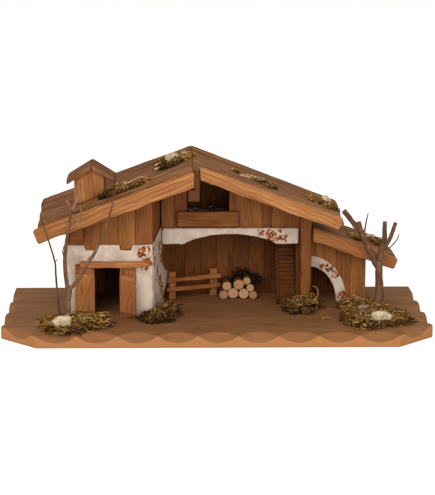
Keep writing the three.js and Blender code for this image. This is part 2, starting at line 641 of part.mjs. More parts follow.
// A hewn bar along a slope in the front view, square at its lower end.
function hewnBar(topAt, from, to, height, phase, y0, y1) {
  const side = Math.sign(to - from);
  const steps = 16;
  const drop = height / COS_ROOF;
  const lean = height * Math.sin(ROOF_PITCH);
  const upper = [];
  const lower = [];
  for (let k = 0; k <= steps; k += 1) {
    const x = THREE.MathUtils.lerp(from, to, k / steps);
    const xLow = THREE.MathUtils.lerp(from, to - side * lean, k / steps);
    upper.push([x, topAt(x) + hewnWave(x, phase + 1) / 2]);
    lower.push([xLow, topAt(xLow) - drop + hewnWave(xLow, phase)]);
  }
  const outline = [...upper, ...lower.reverse()];
  return frontPlate(side > 0 ? outline.reverse() : outline, y0, y1);
}

// Lean-to roof boards: the front one is notched round the post.
function leanRoofBoard(y0, y1, eaveX) {
  const x0 = STABLE_RIGHT_X + GAP;
  const lean = ROOF_BOARD * Math.sin(ROOF_PITCH);
  const board = frontPlate([[x0, leanUnder(x0)], [eaveX - lean, leanUnder(eaveX - lean)],
    [eaveX, leanTop(eaveX)], [x0, leanTop(x0)]], y0, y1);
  const half = POST_TOP_WIDTH / 2;
  return board.subtract(box(-FAR, LEAN_START_X, -FAR, POST_Y + half + GAP, 0, FAR));
}

function chimneyStack() {
  const x0 = CHIMNEY_X - CHIMNEY_WIDTH / 2;
  const x1 = CHIMNEY_X + CHIMNEY_WIDTH / 2;
  const under = (x) => capUnder(x) - GAP;
  const outline = [[x0, mainTop(x0) + SEAT_DROP], [x1, mainTop(x1) + SEAT_DROP], [x1, under(x1)],
    [CHIMNEY_APEX_X, under(CHIMNEY_APEX_X)], [x0, under(x0)]];
  return frontPlate(outline, CHIMNEY_FRONT_Y, CHIMNEY_FRONT_Y + CHIMNEY_DEPTH);
}

const CAP_DROP = CHIMNEY_CAP_THICKNESS / Math.cos(CHIMNEY_CAP_PITCH);
const CAP_APEX_Z = FLOOR + CHIMNEY_APEX_HEIGHT;
const capTop = (x) => CAP_APEX_Z - Math.tan(CHIMNEY_CAP_PITCH) * Math.abs(x - CHIMNEY_APEX_X);
const capUnder = (x) => capTop(x) - CAP_DROP;

function chimneyCapBoard(side) {
  const x0 = CHIMNEY_APEX_X + side * GAP / 2;
  const x1 = CHIMNEY_APEX_X + side * CHIMNEY_CAP_SPAN / 2;
  const outline = [[x0, capUnder(x0)], [x1, capUnder(x1)], [x1, capTop(x1)], [x0, capTop(x0)]];
  return frontPlate(side > 0 ? outline : outline.reverse(), CHIMNEY_FRONT_Y - CHIMNEY_CAP_OVERHANG,
    CHIMNEY_FRONT_Y + CHIMNEY_DEPTH + CHIMNEY_CAP_OVERHANG);
}

// Stair: closed steps on a sloping body, with a stringer on its open side.
const STAIR_RIGHT_X = RIGHT_WALL_X - GAP;
const STAIR_LEFT_X = STAIR_RIGHT_X - STAIR_WIDTH;

function stairSteps() {
  const points = [[STAIR_FOOT_Y, FLOOR + GAP]];
  for (let k = 0; k < STAIR_STEPS; k += 1) {
    const z = FLOOR + GAP + (k + 1) * STAIR_RISER;
    points.push([STAIR_FOOT_Y + k * STAIR_GOING, z], [STAIR_FOOT_Y + (k + 1) * STAIR_GOING, z]);
  }
  const [topY, topZ] = points[points.length - 1];
  points.push([topY, topZ - STAIR_BODY], [STAIR_FOOT_Y + STAIR_BODY, FLOOR + GAP]);
  return sidePlate(points.reverse(), STAIR_LEFT_X + STRINGER_WIDTH + GAP, STAIR_RIGHT_X);
}

function stairStringer() {
  const rise = STAIR_STEPS * STAIR_RISER;
  const run = STAIR_STEPS * STAIR_GOING;
  const z0 = FLOOR + GAP;
  const back = STAIR_BODY + 1;
  const front = STAIR_FOOT_Y - STRINGER_PROUD;
  return sidePlate([[front, z0], [STAIR_FOOT_Y + back, z0],
    [STAIR_FOOT_Y + run, z0 + rise - back], [STAIR_FOOT_Y + run, z0 + rise],
    [front + run, z0 + rise], [front, z0 + STAIR_RISER]],
  STAIR_LEFT_X, STAIR_LEFT_X + STRINGER_WIDTH);
}

// Fence: two posts and two rails in a turned group.
function buildFence() {
  const fence = new THREE.Group();
  fence.position.set(FENCE_LEFT_X, FENCE_LEFT_Y, FLOOR);
  fence.rotation.z = FENCE_ANGLE;
  const half = FENCE_POST_WIDTH / 2;
  for (const [name, along] of [['fence_post_left', 0], ['fence_post_right', FENCE_SPAN]]) {
    add(name, box(along - half, along + half, -FENCE_POST_DEPTH / 2, FENCE_POST_DEPTH / 2,
      GAP, FENCE_POST_HEIGHT), DOOR_WOOD, fence);
  }
  const face = -FENCE_POST_DEPTH / 2 - GAP;
  for (const [name, z] of [['fence_rail_low', RAIL_LOW], ['fence_rail_high', RAIL_HIGH]]) {
    add(name, box(-RAIL_OVERHANG, RAIL_LENGTH - RAIL_OVERHANG, face - RAIL_THICKNESS, face,
      z, z + RAIL_HEIGHT), DOOR_WOOD, fence);
  }
  stable.add(fence);
}

// Where a log of radius r comes to rest on two logs a and b, each [x, z, radius].
function restingOn(a, b, r) {
  const ra = a[2] + r - LOG_BITE;
  const rb = b[2] + r - LOG_BITE;
  const d = Math.hypot(b[0] - a[0], b[1] - a[1]);
  const along = (ra * ra - rb * rb + d * d) / (2 * d);
  const across = Math.sqrt(Math.max(ra * ra - along * along, 0));
  const ux = (b[0] - a[0]) / d;
  const uz = (b[1] - a[1]) / d;
  return [a[0] + along * ux - across * uz, a[1] + along * uz + across * ux, r];
}

// The logs of the pile, each [x, z, radius]: a row on the floor, and one in its hollows.
function logPlaces() {
  const lower = [];
  let x = WOOD_PILE_X;
  for (const [k, r] of LOWER_LOGS.entries()) {
    if (k > 0) {
      const reach = LOWER_LOGS[k - 1] + r - LOG_BITE;
      const climb = r - LOWER_LOGS[k - 1];
      x += Math.sqrt(reach * reach - climb * climb);
    }
    lower.push([x, FLOOR + GAP + r, r]);
  }
  const upper = UPPER_LOGS.map((r, k) => restingOn(lower[k], lower[k + 1], r));
  return [...lower, ...upper];
}

function firewood() {
  return joined(logPlaces().map(([x, z, r], k) => {
    const y0 = WOOD_PILE_Y + LOG_STAGGER * ((k * 2) % 3);
    return cylinderAlong(new THREE.Vector3(x, y0, z), new THREE.Vector3(x, y0 + LOG_LENGTH, z), r, 14);
  }));
}

function doorJamb(x0, x1, height) {
  return box(x0, x1, JAMB_FRONT_Y, JAMB_FRONT_Y + JAMB_THICKNESS, FLOOR + GAP, FLOOR + height);
}

const LINTEL_Z = FLOOR + DOOR_HEIGHT;

function doorLintel() {
  const y1 = JAMB_FRONT_Y - GAP;
  const y0 = RIGHT_HINGE_Y - PIN_RADIUS - PIN_CLEARANCE - LINTEL_FRONT_WALL;
  let body = frontPlate([[LINTEL_LEFT_X, LINTEL_Z], [LINTEL_RIGHT_X - LINTEL_POINT, LINTEL_Z],
    [LINTEL_RIGHT_X, LINTEL_Z + LINTEL_HEIGHT * 0.55],
    [LINTEL_RIGHT_X - LINTEL_POINT / 2, LINTEL_Z + LINTEL_HEIGHT],
    [LINTEL_LEFT_X, LINTEL_Z + LINTEL_HEIGHT]], y0, y1);
  for (const [x, y] of [[LEFT_HINGE_X, LEFT_HINGE_Y], [RIGHT_HINGE_X, RIGHT_HINGE_Y]]) {
    body = body.subtract(pinHole(x, y, LINTEL_Z - 1, LINTEL_Z + PIN_SEAT + GAP));
  }
  return body;
}

// A door leaf in its own frame: the hinge pin stands on the origin, in the round edge of
// the board. The board runs to the side given, with its brace on the face towards -Y.
function doorLeaf(side, ledge) {
  const t = LEAF_THICKNESS / 2;
  const left = Math.min(0, side * LEAF_WIDTH);
  const right = Math.max(0, side * LEAF_WIDTH);
  const z1 = LEAF_LIFT + LEAF_HEIGHT;
  const upright = (z0, height, radius, sides) => cylinderAlong(
    new THREE.Vector3(0, 0, z0), new THREE.Vector3(0, 0, height), radius, sides);
  const face = -t - LEAF_BRACE;
  const top = ledge ? z1 - LEDGE_HEIGHT - BRACE_INSET : z1 - BRACE_INSET;
  const brace = frontPlate([[left + BRACE_INSET, LEAF_LIFT + BRACE_INSET],
    [left + BRACE_INSET + BRACE_WIDTH, LEAF_LIFT + BRACE_INSET], [right - BRACE_INSET, top],
    [right - BRACE_INSET - BRACE_WIDTH, top]], face, -t / 2);
  const pieces = [
    box(left, right, -t, t, LEAF_LIFT, z1),
    upright(LEAF_LIFT, z1, t, 16),
    upright(-PIN_SEAT, DOOR_HEIGHT + PIN_SEAT, PIN_RADIUS, 10),
    brace,
  ];
  if (ledge) {
    pieces.push(box(left + BRACE_INSET, right - BRACE_INSET / 2, face, -t / 2,
      z1 - LEDGE_HEIGHT - BRACE_INSET, z1 - BRACE_INSET));
  }
  return joined(pieces);
}

function buildDoors() {
  const left = new THREE.Group();
  left.position.set(LEFT_HINGE_X, LEFT_HINGE_Y, FLOOR);
  add('door_leaf_left', doorLeaf(-1, false), DOOR_WOOD, left);
  const right = new THREE.Group();
  right.position.set(RIGHT_HINGE_X, RIGHT_HINGE_Y, FLOOR);
  right.rotation.z = -RIGHT_LEAF_OPEN;
  add('door_leaf_right', doorLeaf(1, true), DOOR_WOOD, right);
  stable.add(left, right);
}

// A branch: a tube along a path that narrows from the thick end to the tip.
function branch(path, thick, tip, sides) {
  const rings = path.map((p, k) => {
    const before = path[Math.max(k - 1, 0)];
    const after = path[Math.min(k + 1, path.length - 1)];
    const along = new THREE.Vector3().subVectors(after, before).normalize();
    const across = new THREE.Vector3(0, 1, 0).cross(along).normalize();
    const third = new THREE.Vector3().crossVectors(along, across);
    const r = THREE.MathUtils.lerp(thick, tip, k / (path.length - 1));
    return ring(sides, () => r).map(([u, v]) =>
      p.clone().addScaledVector(across, u).addScaledVector(third, v).toArray());
  });
  return skin(rings, path[0].toArray(), path[path.length - 1].toArray());
}

// A tree: the points of its limbs are offsets from the root, in hundredths of its height.
function tree(root, height, limbs) {
  return joined(limbs.map(({ thick, tip, sides = 7, points }) => {
    const path = points.map((p) => new THREE.Vector3(...p).multiplyScalar(height / 100).add(root));
    return branch(path, thick, tip, sides);
  }));
}

// Left tree: a slim trunk that forks low, in front of the house corner.
const LEFT_TREE = new THREE.Vector3(HOUSE_LEFT_X + 4, HOUSE_FRONT_Y - 50, FLOOR + GAP);
const LEFT_TREE_HEIGHT = 203;
const LEFT_TREE_TRUNK = 4.2;
const LEFT_TREE_LIMBS = [
  { thick: LEFT_TREE_TRUNK, tip: 3.4, points: [[0, 0, 0], [0.5, 0, 12.8], [1.5, 0, 26.6]] },
  { thick: 3.2, tip: 1.9, points: [[1, 0, 23.6], [-0.5, -0.5, 32.5], [-1, 0.5, 46.3],
    [0, 0, 58.1], [2, -0.5, 70], [3.9, 0, 80.8]] },
  { thick: 1.5, tip: 0.9, points: [[3.9, 0, 79.8], [2.5, -1, 83.7], [1, -2, 87.2]] },
  { thick: 1.7, tip: 1, points: [[3.9, 0, 79.8], [7.4, 0.5, 86.7], [9.4, 1, 92.6], [9.4, 0, 100]] },
  { thick: 1.4, tip: 0.9, points: [[2.5, 0, 69.5], [8.4, -1, 71.9], [10.3, -1.5, 77.3],
    [10.3, -1, 82.8]] },
  { thick: 2.8, tip: 1.2, points: [[1.5, 0, 24.6], [9.9, -1.5, 35.5], [15.3, -2, 45.8],
    [18.7, -1.5, 50.2], [22.7, -1, 58.6], [25.6, -0.5, 65], [29.6, 0, 77.3], [32.5, 0.5, 87.2]] },
  { thick: 1, tip: 0.7, points: [[-1, 0.5, 45.3], [-2.5, 1.5, 51.2], [-1.5, 1.5, 55.7]] },
];

// A thin twig beside it, with a bud half way up.
const LEFT_TWIG = LEFT_TREE.clone().add(new THREE.Vector3(-10, -2, 0));
const LEFT_TWIG_HEIGHT = 151;
const LEFT_TWIG_RADIUS = 1.7;
const LEFT_TWIG_LEAN = 1.7; // how far it leans over the height of the moss
const LEFT_TWIG_LIMBS = [
  { thick: LEFT_TWIG_RADIUS, tip: 1, points: [[0, 0, 0], [-1.3, 0, 19.2], [-2.6, 0, 36.4],
    [-3.3, 0, 47.7], [-4, 0, 60.9], [-9.3, -0.7, 80.1], [-13.2, -0.7, 92.1], [-16.6, 0, 100]] },
  { thick: 0.8, tip: 0.6, points: [[-4, 0, 59.6], [-1.3, 0.7, 62.9]] },
];

// Right tree: a stout trunk with sawn-off branches, in front of the lean-to.
const RIGHT_TREE = new THREE.Vector3(LEAN_RIGHT_X + 12, LEAN_FRONT_Y - 60, FLOOR + GAP);
const RIGHT_TREE_HEIGHT = 148;
const RIGHT_TREE_TRUNK = 6.6;
const RIGHT_TREE_LIMBS = [
  { thick: RIGHT_TREE_TRUNK, tip: 5.4, sides: 9, points: [[0, 0, 0], [0.7, 0, 23.6], [-0.7, 0, 50]] },
  { thick: 5, tip: 3.4, sides: 8, points: [[0.7, 0, 41.9], [-6.1, 0, 52.7], [-14.2, 0, 70.3],
    [-18.9, -0.7, 81.1], [-20.9, -0.7, 88.5]] },
  { thick: 3.6, tip: 2.9, sides: 8, points: [[-18.2, -0.7, 80.4], [-27, -0.7, 89.9],
    [-34.5, -2, 100]] },
  { thick: 1.4, tip: 0.8, points: [[-15.5, 0, 74.3], [-13.5, 1.4, 86.5], [-11.5, 2, 96.6]] },
  { thick: 4.8, tip: 3, sides: 8, points: [[0, 0, 41.9], [1.4, 0, 58.1], [4.7, 0, 71.6],
    [4.1, 0, 88.5]] },
  { thick: 3.4, tip: 2.8, sides: 8, points: [[3.4, 0, 62.2], [8.8, -1.4, 70.3],
    [14.9, -2, 87.8]] },
  { thick: 1.2, tip: 0.8, points: [[3.4, 0, 59.5], [10.1, 0.7, 62.8], [16.2, 1.4, 69.6],
    [18.9, 1.4, 75.7]] },
];

// A lump on a surface: rings shrink towards the top, and the rim wanders with the phase.
// floorAt gives the height of the surface under it.
function lump({ x, y, rx, ry, height, phase }, floorAt) {
  const sides = 22;
  const levels = 5;
  const rim = (angle) => 1 + 0.1 * Math.sin(3 * angle + phase) + 0.07 * Math.sin(5 * angle + 2 * phase);
  const rings = Array.from({ length: levels }, (_, k) => {
    const climb = Math.PI / 2 * k / levels;
    const bump = (angle) => 1 + 0.12 * Math.sin(4 * angle + phase * (k + 1));
    return ring(sides, rim).map(([u, v], n) => {
      const px = x + rx * u * Math.cos(climb);
      const rise = height * Math.sin(climb) * bump(2 * Math.PI * n / sides);
      return [px, y + ry * v * Math.cos(climb), floorAt(px) + rise];
    });
  });
  return skin(rings, [x, y, floorAt(x)], [x, y, floorAt(x) + height]);
}

const clump = (spots, floorAt) => joined(spots.map((spot) => lump(spot, floorAt)));
const onBase = () => FLOOR + GAP;
const onMainRoof = (x) => mainTop(x) + SEAT_DROP;

// Stones: round lumps, flattened underneath.
const STONE_LEFT = {
  x: LEFT_TREE.x - 4, y: LEFT_TREE.y - 16, rx: 15.5, ry: 9, height: 15, phase: 1.6,
};
const STONE_RIGHT = {
  x: RIGHT_TREE.x - 4, y: RIGHT_TREE.y - 66, rx: 17, ry: 10, height: 16, phase: 3.8,
};

// The space that a stone takes in the moss round it.
function stoneHole(place) {
  return lump({
    ...place, rx: place.rx + GAP, ry: place.ry + GAP, height: place.height + GAP,
  }, onBase);
}

// The space that a trunk or a post takes in the moss round it.
const TALLEST_MOSS = 30;

function trunkHole(foot, radius) {
  const up = foot.clone().setZ(FLOOR + TALLEST_MOSS);
  return cylinderAlong(foot.clone().setZ(0), up, radius, 12);
}

// The space above the floor that a door leaf sweeps.
function swingSpace(x, y) {
  const z0 = FLOOR + LEAF_LIFT - SWING_CLEARANCE;
  return cylinderAlong(new THREE.Vector3(x, y, z0), new THREE.Vector3(x, y, FAR), LEAF_SWING, 32);
}

function mossLeft() {
  const { x, y } = LEFT_TREE;
  return clump([
    { x: x + 3, y: y - 8, rx: 40, ry: 38, height: 17, phase: 1 },
    { x: x + 36, y: y + 2, rx: 22, ry: 19, height: 15, phase: 4 },
  ], onBase)
    .subtract(stoneHole(STONE_LEFT))
    .subtract(trunkHole(LEFT_TREE, LEFT_TREE_TRUNK + 2 * GAP))
    .subtract(trunkHole(LEFT_TWIG, LEFT_TWIG_RADIUS + LEFT_TWIG_LEAN))
    .subtract(swingSpace(LEFT_HINGE_X, LEFT_HINGE_Y));
}

// Keeps off the plastered corner and out of the path of the right leaf.
function mossCorner() {
  const plaster = planPlate([[-FAR, HOUSE_FRONT_Y - GAP], [HOUSE_CORNER_X + GAP, HOUSE_FRONT_Y - GAP],
    [splayX(BACK_WALL_Y) + 2 * GAP, BACK_WALL_Y], [-FAR, BACK_WALL_Y]], 0, FAR);
  return clump([
    { x: HOUSE_CORNER_X + 5.5, y: HOUSE_FRONT_Y - 20, rx: 24, ry: 22, height: 16, phase: 2 },
    { x: HOUSE_CORNER_X + 19.5, y: HOUSE_FRONT_Y + 12, rx: 15, ry: 24, height: 17, phase: 5 },
  ], onBase)
    .subtract(plaster)
    .subtract(swingSpace(RIGHT_HINGE_X, RIGHT_HINGE_Y));
}

function mossPost() {
  return clump([
    { x: POST_X - 13, y: POST_Y - 22, rx: 17, ry: 26, height: 16, phase: 3 },
    { x: POST_X + 5, y: POST_Y - 8, rx: 14, ry: 14, height: 15, phase: 1 },
  ], onBase).subtract(trunkHole(new THREE.Vector3(POST_X, POST_Y, 0), POST_TOP_WIDTH / 2 + GAP));
}

function mossRight() {
  const { x, y } = RIGHT_TREE;
  return clump([
    { x: x - 12, y: y - 48, rx: 50, ry: 58, height: 17, phase: 2 },
    { x: x - 29, y: y + 20, rx: 24, ry: 24, height: 12, phase: 6 },
  ], onBase)
    .subtract(stoneHole(STONE_RIGHT))
    .subtract(trunkHole(RIGHT_TREE, RIGHT_TREE_TRUNK + 2 * GAP));
}

function mossRidge() {
  const spot = { x: RIDGE_X - 31, y: GABLE_FRONT_Y + 12, rx: 27, ry: 30, height: 9, phase: 2 };
  return lump(spot, onMainRoof);
}

function mossChimney() {
  const stack = box(-FAR, CHIMNEY_X + CHIMNEY_WIDTH / 2 + GAP, CHIMNEY_FRONT_Y - GAP, FAR, 0, FAR);
  return clump([
    { x: CHIMNEY_X + 42.5, y: CHIMNEY_FRONT_Y - 22, rx: 30, ry: 20, height: 8, phase: 3 },
    { x: CHIMNEY_X + 66.5, y: CHIMNEY_FRONT_Y - 6, rx: 24, ry: 14, height: 7, phase: 1 },
  ], onMainRoof).subtract(stack);
}

// Straw on the loft floor, behind the window.
function loftStraw() {
  const y0 = GABLE_BACK_Y + GAP;
  const middle = (WINDOW_LEFT_X + WINDOW_RIGHT_X) / 2;
  const spot = { x: middle - 6, y: y0 + 12, rx: 26, ry: 20, height: 33, phase: 2 };
  const floorAt = () => LOFT_FLOOR_Z + LOFT_FLOOR_THICKNESS + GAP;
  return lump(spot, floorAt).intersect(box(-FAR, FAR, y0, FAR, 0, FAR));
}

// Base and walls
add('base_board', baseBoard(), BASE_WOOD);
add('back_wall', backWall(), DARK_WOOD);
add('house_left_wall', houseLeftWall(), WALL_WOOD);
add('house_front_plaster', housePlaster(), WHITE_PLASTER);
for (let k = 0; k < PLANK_COUNT; k += 1) {
  add(`house_plank_${k + 1}`, housePlank(k), WALL_WOOD);
}
add('splay_wall', splayWall(), DARK_WOOD);
add('splay_plaster', splayPlaster(), WHITE_PLASTER);
add('gable_wall', gableWall(), WALL_WOOD);
add('arched_beam', archedBeam(), WHITE_PLASTER);
add('loft_sill_board', sillBoard(), WALL_WOOD);
add('loft_floor', loftFloor(), DARK_WOOD);
add('stable_right_wall', stableRightWall(), DARK_WOOD);
add('corner_post', cornerPost(), POST_WOOD);
add('lean_to_front_wall', leanFrontWall(), WALL_WOOD);
add('lean_to_arch_plaster', archPlaster(), WHITE_PLASTER);
add('lean_to_side_wall', leanSideWall(), WALL_WOOD);

// Roof
const ROOF_BOARDS_FRONT_Y = FASCIA_BACK_Y + GAP;
const ROOF_SPAN = ROOF_BACK_Y - ROOF_BOARDS_FRONT_Y;
const SEAM_ONE_Y = ROOF_BOARDS_FRONT_Y + FRONT_BOARD_SHARE * ROOF_SPAN;
const SEAM_TWO_Y = ROOF_BOARDS_FRONT_Y + 2 * FRONT_BOARD_SHARE * ROOF_SPAN;
add('roof_left_front', roofBoard(-1, LEFT_EAVE_X + LEFT_FRONT_SETBACK, ROOF_BOARDS_FRONT_Y,
  SEAM_ONE_Y - GAP, 0), ROOF_WOOD);
add('roof_left_middle', roofBoard(-1, LEFT_EAVE_X + LEFT_FRONT_SETBACK / 2, SEAM_ONE_Y,
  SEAM_TWO_Y - GAP, 0), ROOF_WOOD);
add('roof_left_rear', roofBoard(-1, LEFT_EAVE_X, SEAM_TWO_Y, ROOF_BACK_Y, REAR_BOARD_RISE), ROOF_WOOD);
add('roof_right_front', roofBoard(1, RIGHT_EAVE_X - RIGHT_FRONT_SETBACK, ROOF_BOARDS_FRONT_Y,
  SEAM_ONE_Y - GAP, 0), ROOF_WOOD);
add('roof_right_middle', roofBoard(1, RIGHT_EAVE_X, SEAM_ONE_Y, SEAM_TWO_Y - GAP, 0), ROOF_WOOD);
add('roof_right_rear', roofBoard(1, RIGHT_EAVE_X, SEAM_TWO_Y, ROOF_BACK_Y, REAR_BOARD_RISE),
  ROOF_WOOD);
add('ridge_beam', ridgeBeam(), WALL_WOOD);
add('eave_block', eaveBlock(), DARK_WOOD);
add('fascia_left', hewnBar((x) => mainTop(x), RIDGE_STRIP_LEFT_X - GAP, LEFT_EAVE_X,
  FASCIA_HEIGHT, 0.4, ROOF_FRONT_Y, FASCIA_BACK_Y), HEWN_WOOD);
add('fascia_right', hewnBar((x) => mainTop(x) + RIGHT_FASCIA_RISE,
  RIDGE_STRIP_RIGHT_X + GAP, RIGHT_EAVE_X - RIGHT_FASCIA_SETBACK,
  FASCIA_HEIGHT, 2.1, ROOF_FRONT_Y, FASCIA_BACK_Y), HEWN_WOOD);
const LEAN_SEAM_Y = (LEAN_FASCIA_Y + ROOF_BACK_Y) / 2;
add('lean_to_roof_front', leanRoofBoard(LEAN_FASCIA_Y + FASCIA_THICKNESS + GAP, LEAN_SEAM_Y - GAP,
  LEAN_EAVE_X), ROOF_WOOD);
add('lean_to_roof_rear', leanRoofBoard(LEAN_SEAM_Y, ROOF_BACK_Y, LEAN_EAVE_X - LEAN_REAR_SETBACK),
  ROOF_WOOD);
add('lean_to_fascia', hewnBar((x) => leanTop(x), LEAN_START_X, LEAN_EAVE_X + LEAN_FASCIA_OVERHANG,
  LEAN_FASCIA_HEIGHT, 1.2, LEAN_FASCIA_Y, LEAN_FASCIA_Y + FASCIA_THICKNESS), HEWN_WOOD);
add('chimney_stack', chimneyStack(), HEWN_WOOD);
add('chimney_cap_left', chimneyCapBoard(-1), ROOF_WOOD);
add('chimney_cap_right', chimneyCapBoard(1), ROOF_WOOD);

// Stable fittings
add('stair_steps', stairSteps(), DARK_WOOD);
add('stair_stringer', stairStringer(), WALL_WOOD);
buildFence();
add('firewood_pile', firewood(), LOG_WOOD);

// Doorway
add('door_jamb_left', doorJamb(LEFT_HINGE_X - LEFT_JAMB_WIDTH, LEFT_HINGE_X,
  DOOR_HEIGHT + JAMB_RISE), DOOR_WOOD);
add('door_jamb_right', doorJamb(RIGHT_HINGE_X, RIGHT_HINGE_X + RIGHT_JAMB_WIDTH, DOOR_HEIGHT),
  DOOR_WOOD);
add('door_lintel', doorLintel(), LINTEL_WOOD);
buildDoors();

// Trees, moss, stones and straw
add('left_tree', tree(LEFT_TREE, LEFT_TREE_HEIGHT, LEFT_TREE_LIMBS), BARK);
add('left_twig', tree(LEFT_TWIG, LEFT_TWIG_HEIGHT, LEFT_TWIG_LIMBS), BARK);
add('right_tree', tree(RIGHT_TREE, RIGHT_TREE_HEIGHT, RIGHT_TREE_LIMBS), BARK);
add('moss_left', mossLeft(), DRY_MOSS);
add('moss_corner', mossCorner(), DRY_MOSS);
add('moss_post', mossPost(), DRY_MOSS);
add('moss_right', mossRight(), DRY_MOSS);
add('moss_ridge', mossRidge(), DRY_MOSS);
add('moss_chimney', mossChimney(), DRY_MOSS);
add('stone_left', lump(STONE_LEFT, onBase), PALE_STONE);
add('stone_right', lump(STONE_RIGHT, onBase), PALE_STONE);
add('loft_straw', loftStraw(), STRAW);

export default stable;
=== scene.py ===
"""Looks of a wooden nativity stable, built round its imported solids.

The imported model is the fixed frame. Each visible piece is a surface worked out with numpy on
a grid of rings, and carries the values that its finish reads: the run of the wood's grain, a
tint for each board, and masks for sawn ends and for bare brick. Lengths are millimetres in
the builders and metres in the meshes. +Z is up and the front faces -Y.
"""

from __future__ import annotations

import logging
import math
from collections.abc import Callable, Sequence
from dataclasses import dataclass
from enum import Enum

import bpy
import numpy as np
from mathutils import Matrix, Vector

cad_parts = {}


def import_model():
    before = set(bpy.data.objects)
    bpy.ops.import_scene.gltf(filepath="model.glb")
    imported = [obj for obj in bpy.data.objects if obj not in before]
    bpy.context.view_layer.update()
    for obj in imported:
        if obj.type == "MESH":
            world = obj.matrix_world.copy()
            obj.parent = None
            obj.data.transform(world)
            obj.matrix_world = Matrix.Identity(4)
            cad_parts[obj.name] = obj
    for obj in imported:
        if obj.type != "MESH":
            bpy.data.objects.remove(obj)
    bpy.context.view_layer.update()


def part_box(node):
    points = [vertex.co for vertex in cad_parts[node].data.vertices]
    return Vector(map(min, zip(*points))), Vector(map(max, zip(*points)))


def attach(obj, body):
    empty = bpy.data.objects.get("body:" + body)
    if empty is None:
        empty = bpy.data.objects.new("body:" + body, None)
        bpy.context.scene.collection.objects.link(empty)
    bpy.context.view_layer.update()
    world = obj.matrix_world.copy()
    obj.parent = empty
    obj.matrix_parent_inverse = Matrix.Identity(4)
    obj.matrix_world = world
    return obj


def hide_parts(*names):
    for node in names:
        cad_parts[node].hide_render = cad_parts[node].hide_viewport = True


LOG = logging.getLogger("stable")
MM = 0.001
BODY = "stable"
ROOF_PITCH = math.radians(20)
ROOF_BOARD = 8  # mm thick
GAP = 0.3  # mm between pieces that lie on each other
RIDGE_SHIFT = 4.0  # mm to the left of the solids' ridge, as the photo has it
GRAIN_SHIFT = (171.0, 67.0, 43.0)  # mm between the grain of one seed and the next
COAT = 0.8  # mm of plaster that has come off where brick shows
SPLAY_SLOPE = 0.184932  # how far the splayed wall goes right for each mm back
FINE_CELLS = (1.8, 1.6, 1.8)  # mm of the grid on hewn pieces

Array = np.ndarray
Pair = tuple[float, float]
Triple = tuple[float, float, float]
Curve = Callable[[Array], Array]  # points for shares of the way, or heights over places


def hex_to_linear(code: int) -> tuple[float, float, float, float]:
    """Turns an sRGB hex colour into a linear one.

    Args:
        code: The colour as 0xRRGGBB.

    Returns:
        Linear red, green and blue, and an alpha of 1.
    """
    srgb = [((code >> shift) & 255) / 255 for shift in (16, 8, 0)]
    linear = [c / 12.92 if c <= 0.04045 else ((c + 0.055) / 1.055) ** 2.4 for c in srgb]
    return (*linear, 1.0)


def unit(vectors: Array, tiny: float = 0.0) -> Array:
    """Vectors of length 1 in the same directions. A tiny length added keeps zeros from failing."""
    return vectors / (np.linalg.norm(vectors, axis=-1, keepdims=True) + tiny)


def spokes(angle: Array, across: Array, third: Array) -> Array:
    """Unit vectors all round a line: across times the cosine plus third times the sine."""
    return np.cos(angle)[:, None] * across[..., None, :] + np.sin(angle)[:, None] * third[..., None, :]


def smoothstep(value: Array, low: float, high: float) -> Array:
    """Rises smoothly from 0 at low to 1 at high, as 3 s^2 - 2 s^3 of the share s between them."""
    share = np.clip((value - low) / (high - low), 0, 1)
    return share * share * (3 - 2 * share)


def lattice(cell: Array, seed: int) -> Array:
    """Random values for the cells of a lattice, by an integer hash of their numbers.

    Args:
        cell: Whole numbers, the last axis being the three directions.
        seed: Another seed gives other values.

    Returns:
        Values from -1 to 1.
    """
    cell = cell.astype(np.int64)
    mixed = cell[..., 0] * 374761393 + cell[..., 1] * 668265263 + cell[..., 2] * 1442695041
    mixed = (mixed + seed * 974634777) & 0xFFFFFFFF
    mixed = ((mixed ^ (mixed >> 13)) * 1274126177) & 0xFFFFFFFF
    mixed = (mixed ^ (mixed >> 16)) & 0xFFFF
    return mixed / 32767.5 - 1


def noise(points: Array, cell: float | Sequence[float], seed: int, octaves: int = 2) -> Array:
    """Smooth noise: lattice values blended over each cell, with finer octaves at half weight.

    Args:
        points: Places in millimetres, the last axis being the three directions.
        cell: Size of a cell in millimetres, or one size for each direction.
        seed: Another seed gives another pattern.
        octaves: How many layers are added, each twice as fine.

    Returns:
        Values from about -1 to 1.
    """
    total = np.zeros(points.shape[:-1])
    weight = 1.0
    for octave in range(octaves):
        at = points / np.asarray(cell) * 2**octave
        base = np.floor(at)
        share = at - base
        share = share * share * (3 - 2 * share)
        for corner in np.ndindex(2, 2, 2):
            part = np.prod(np.where(np.array(corner), share, 1 - share), axis=-1)
            total += weight * part * lattice(base + corner, seed + octave)
        weight /= 2
    return total


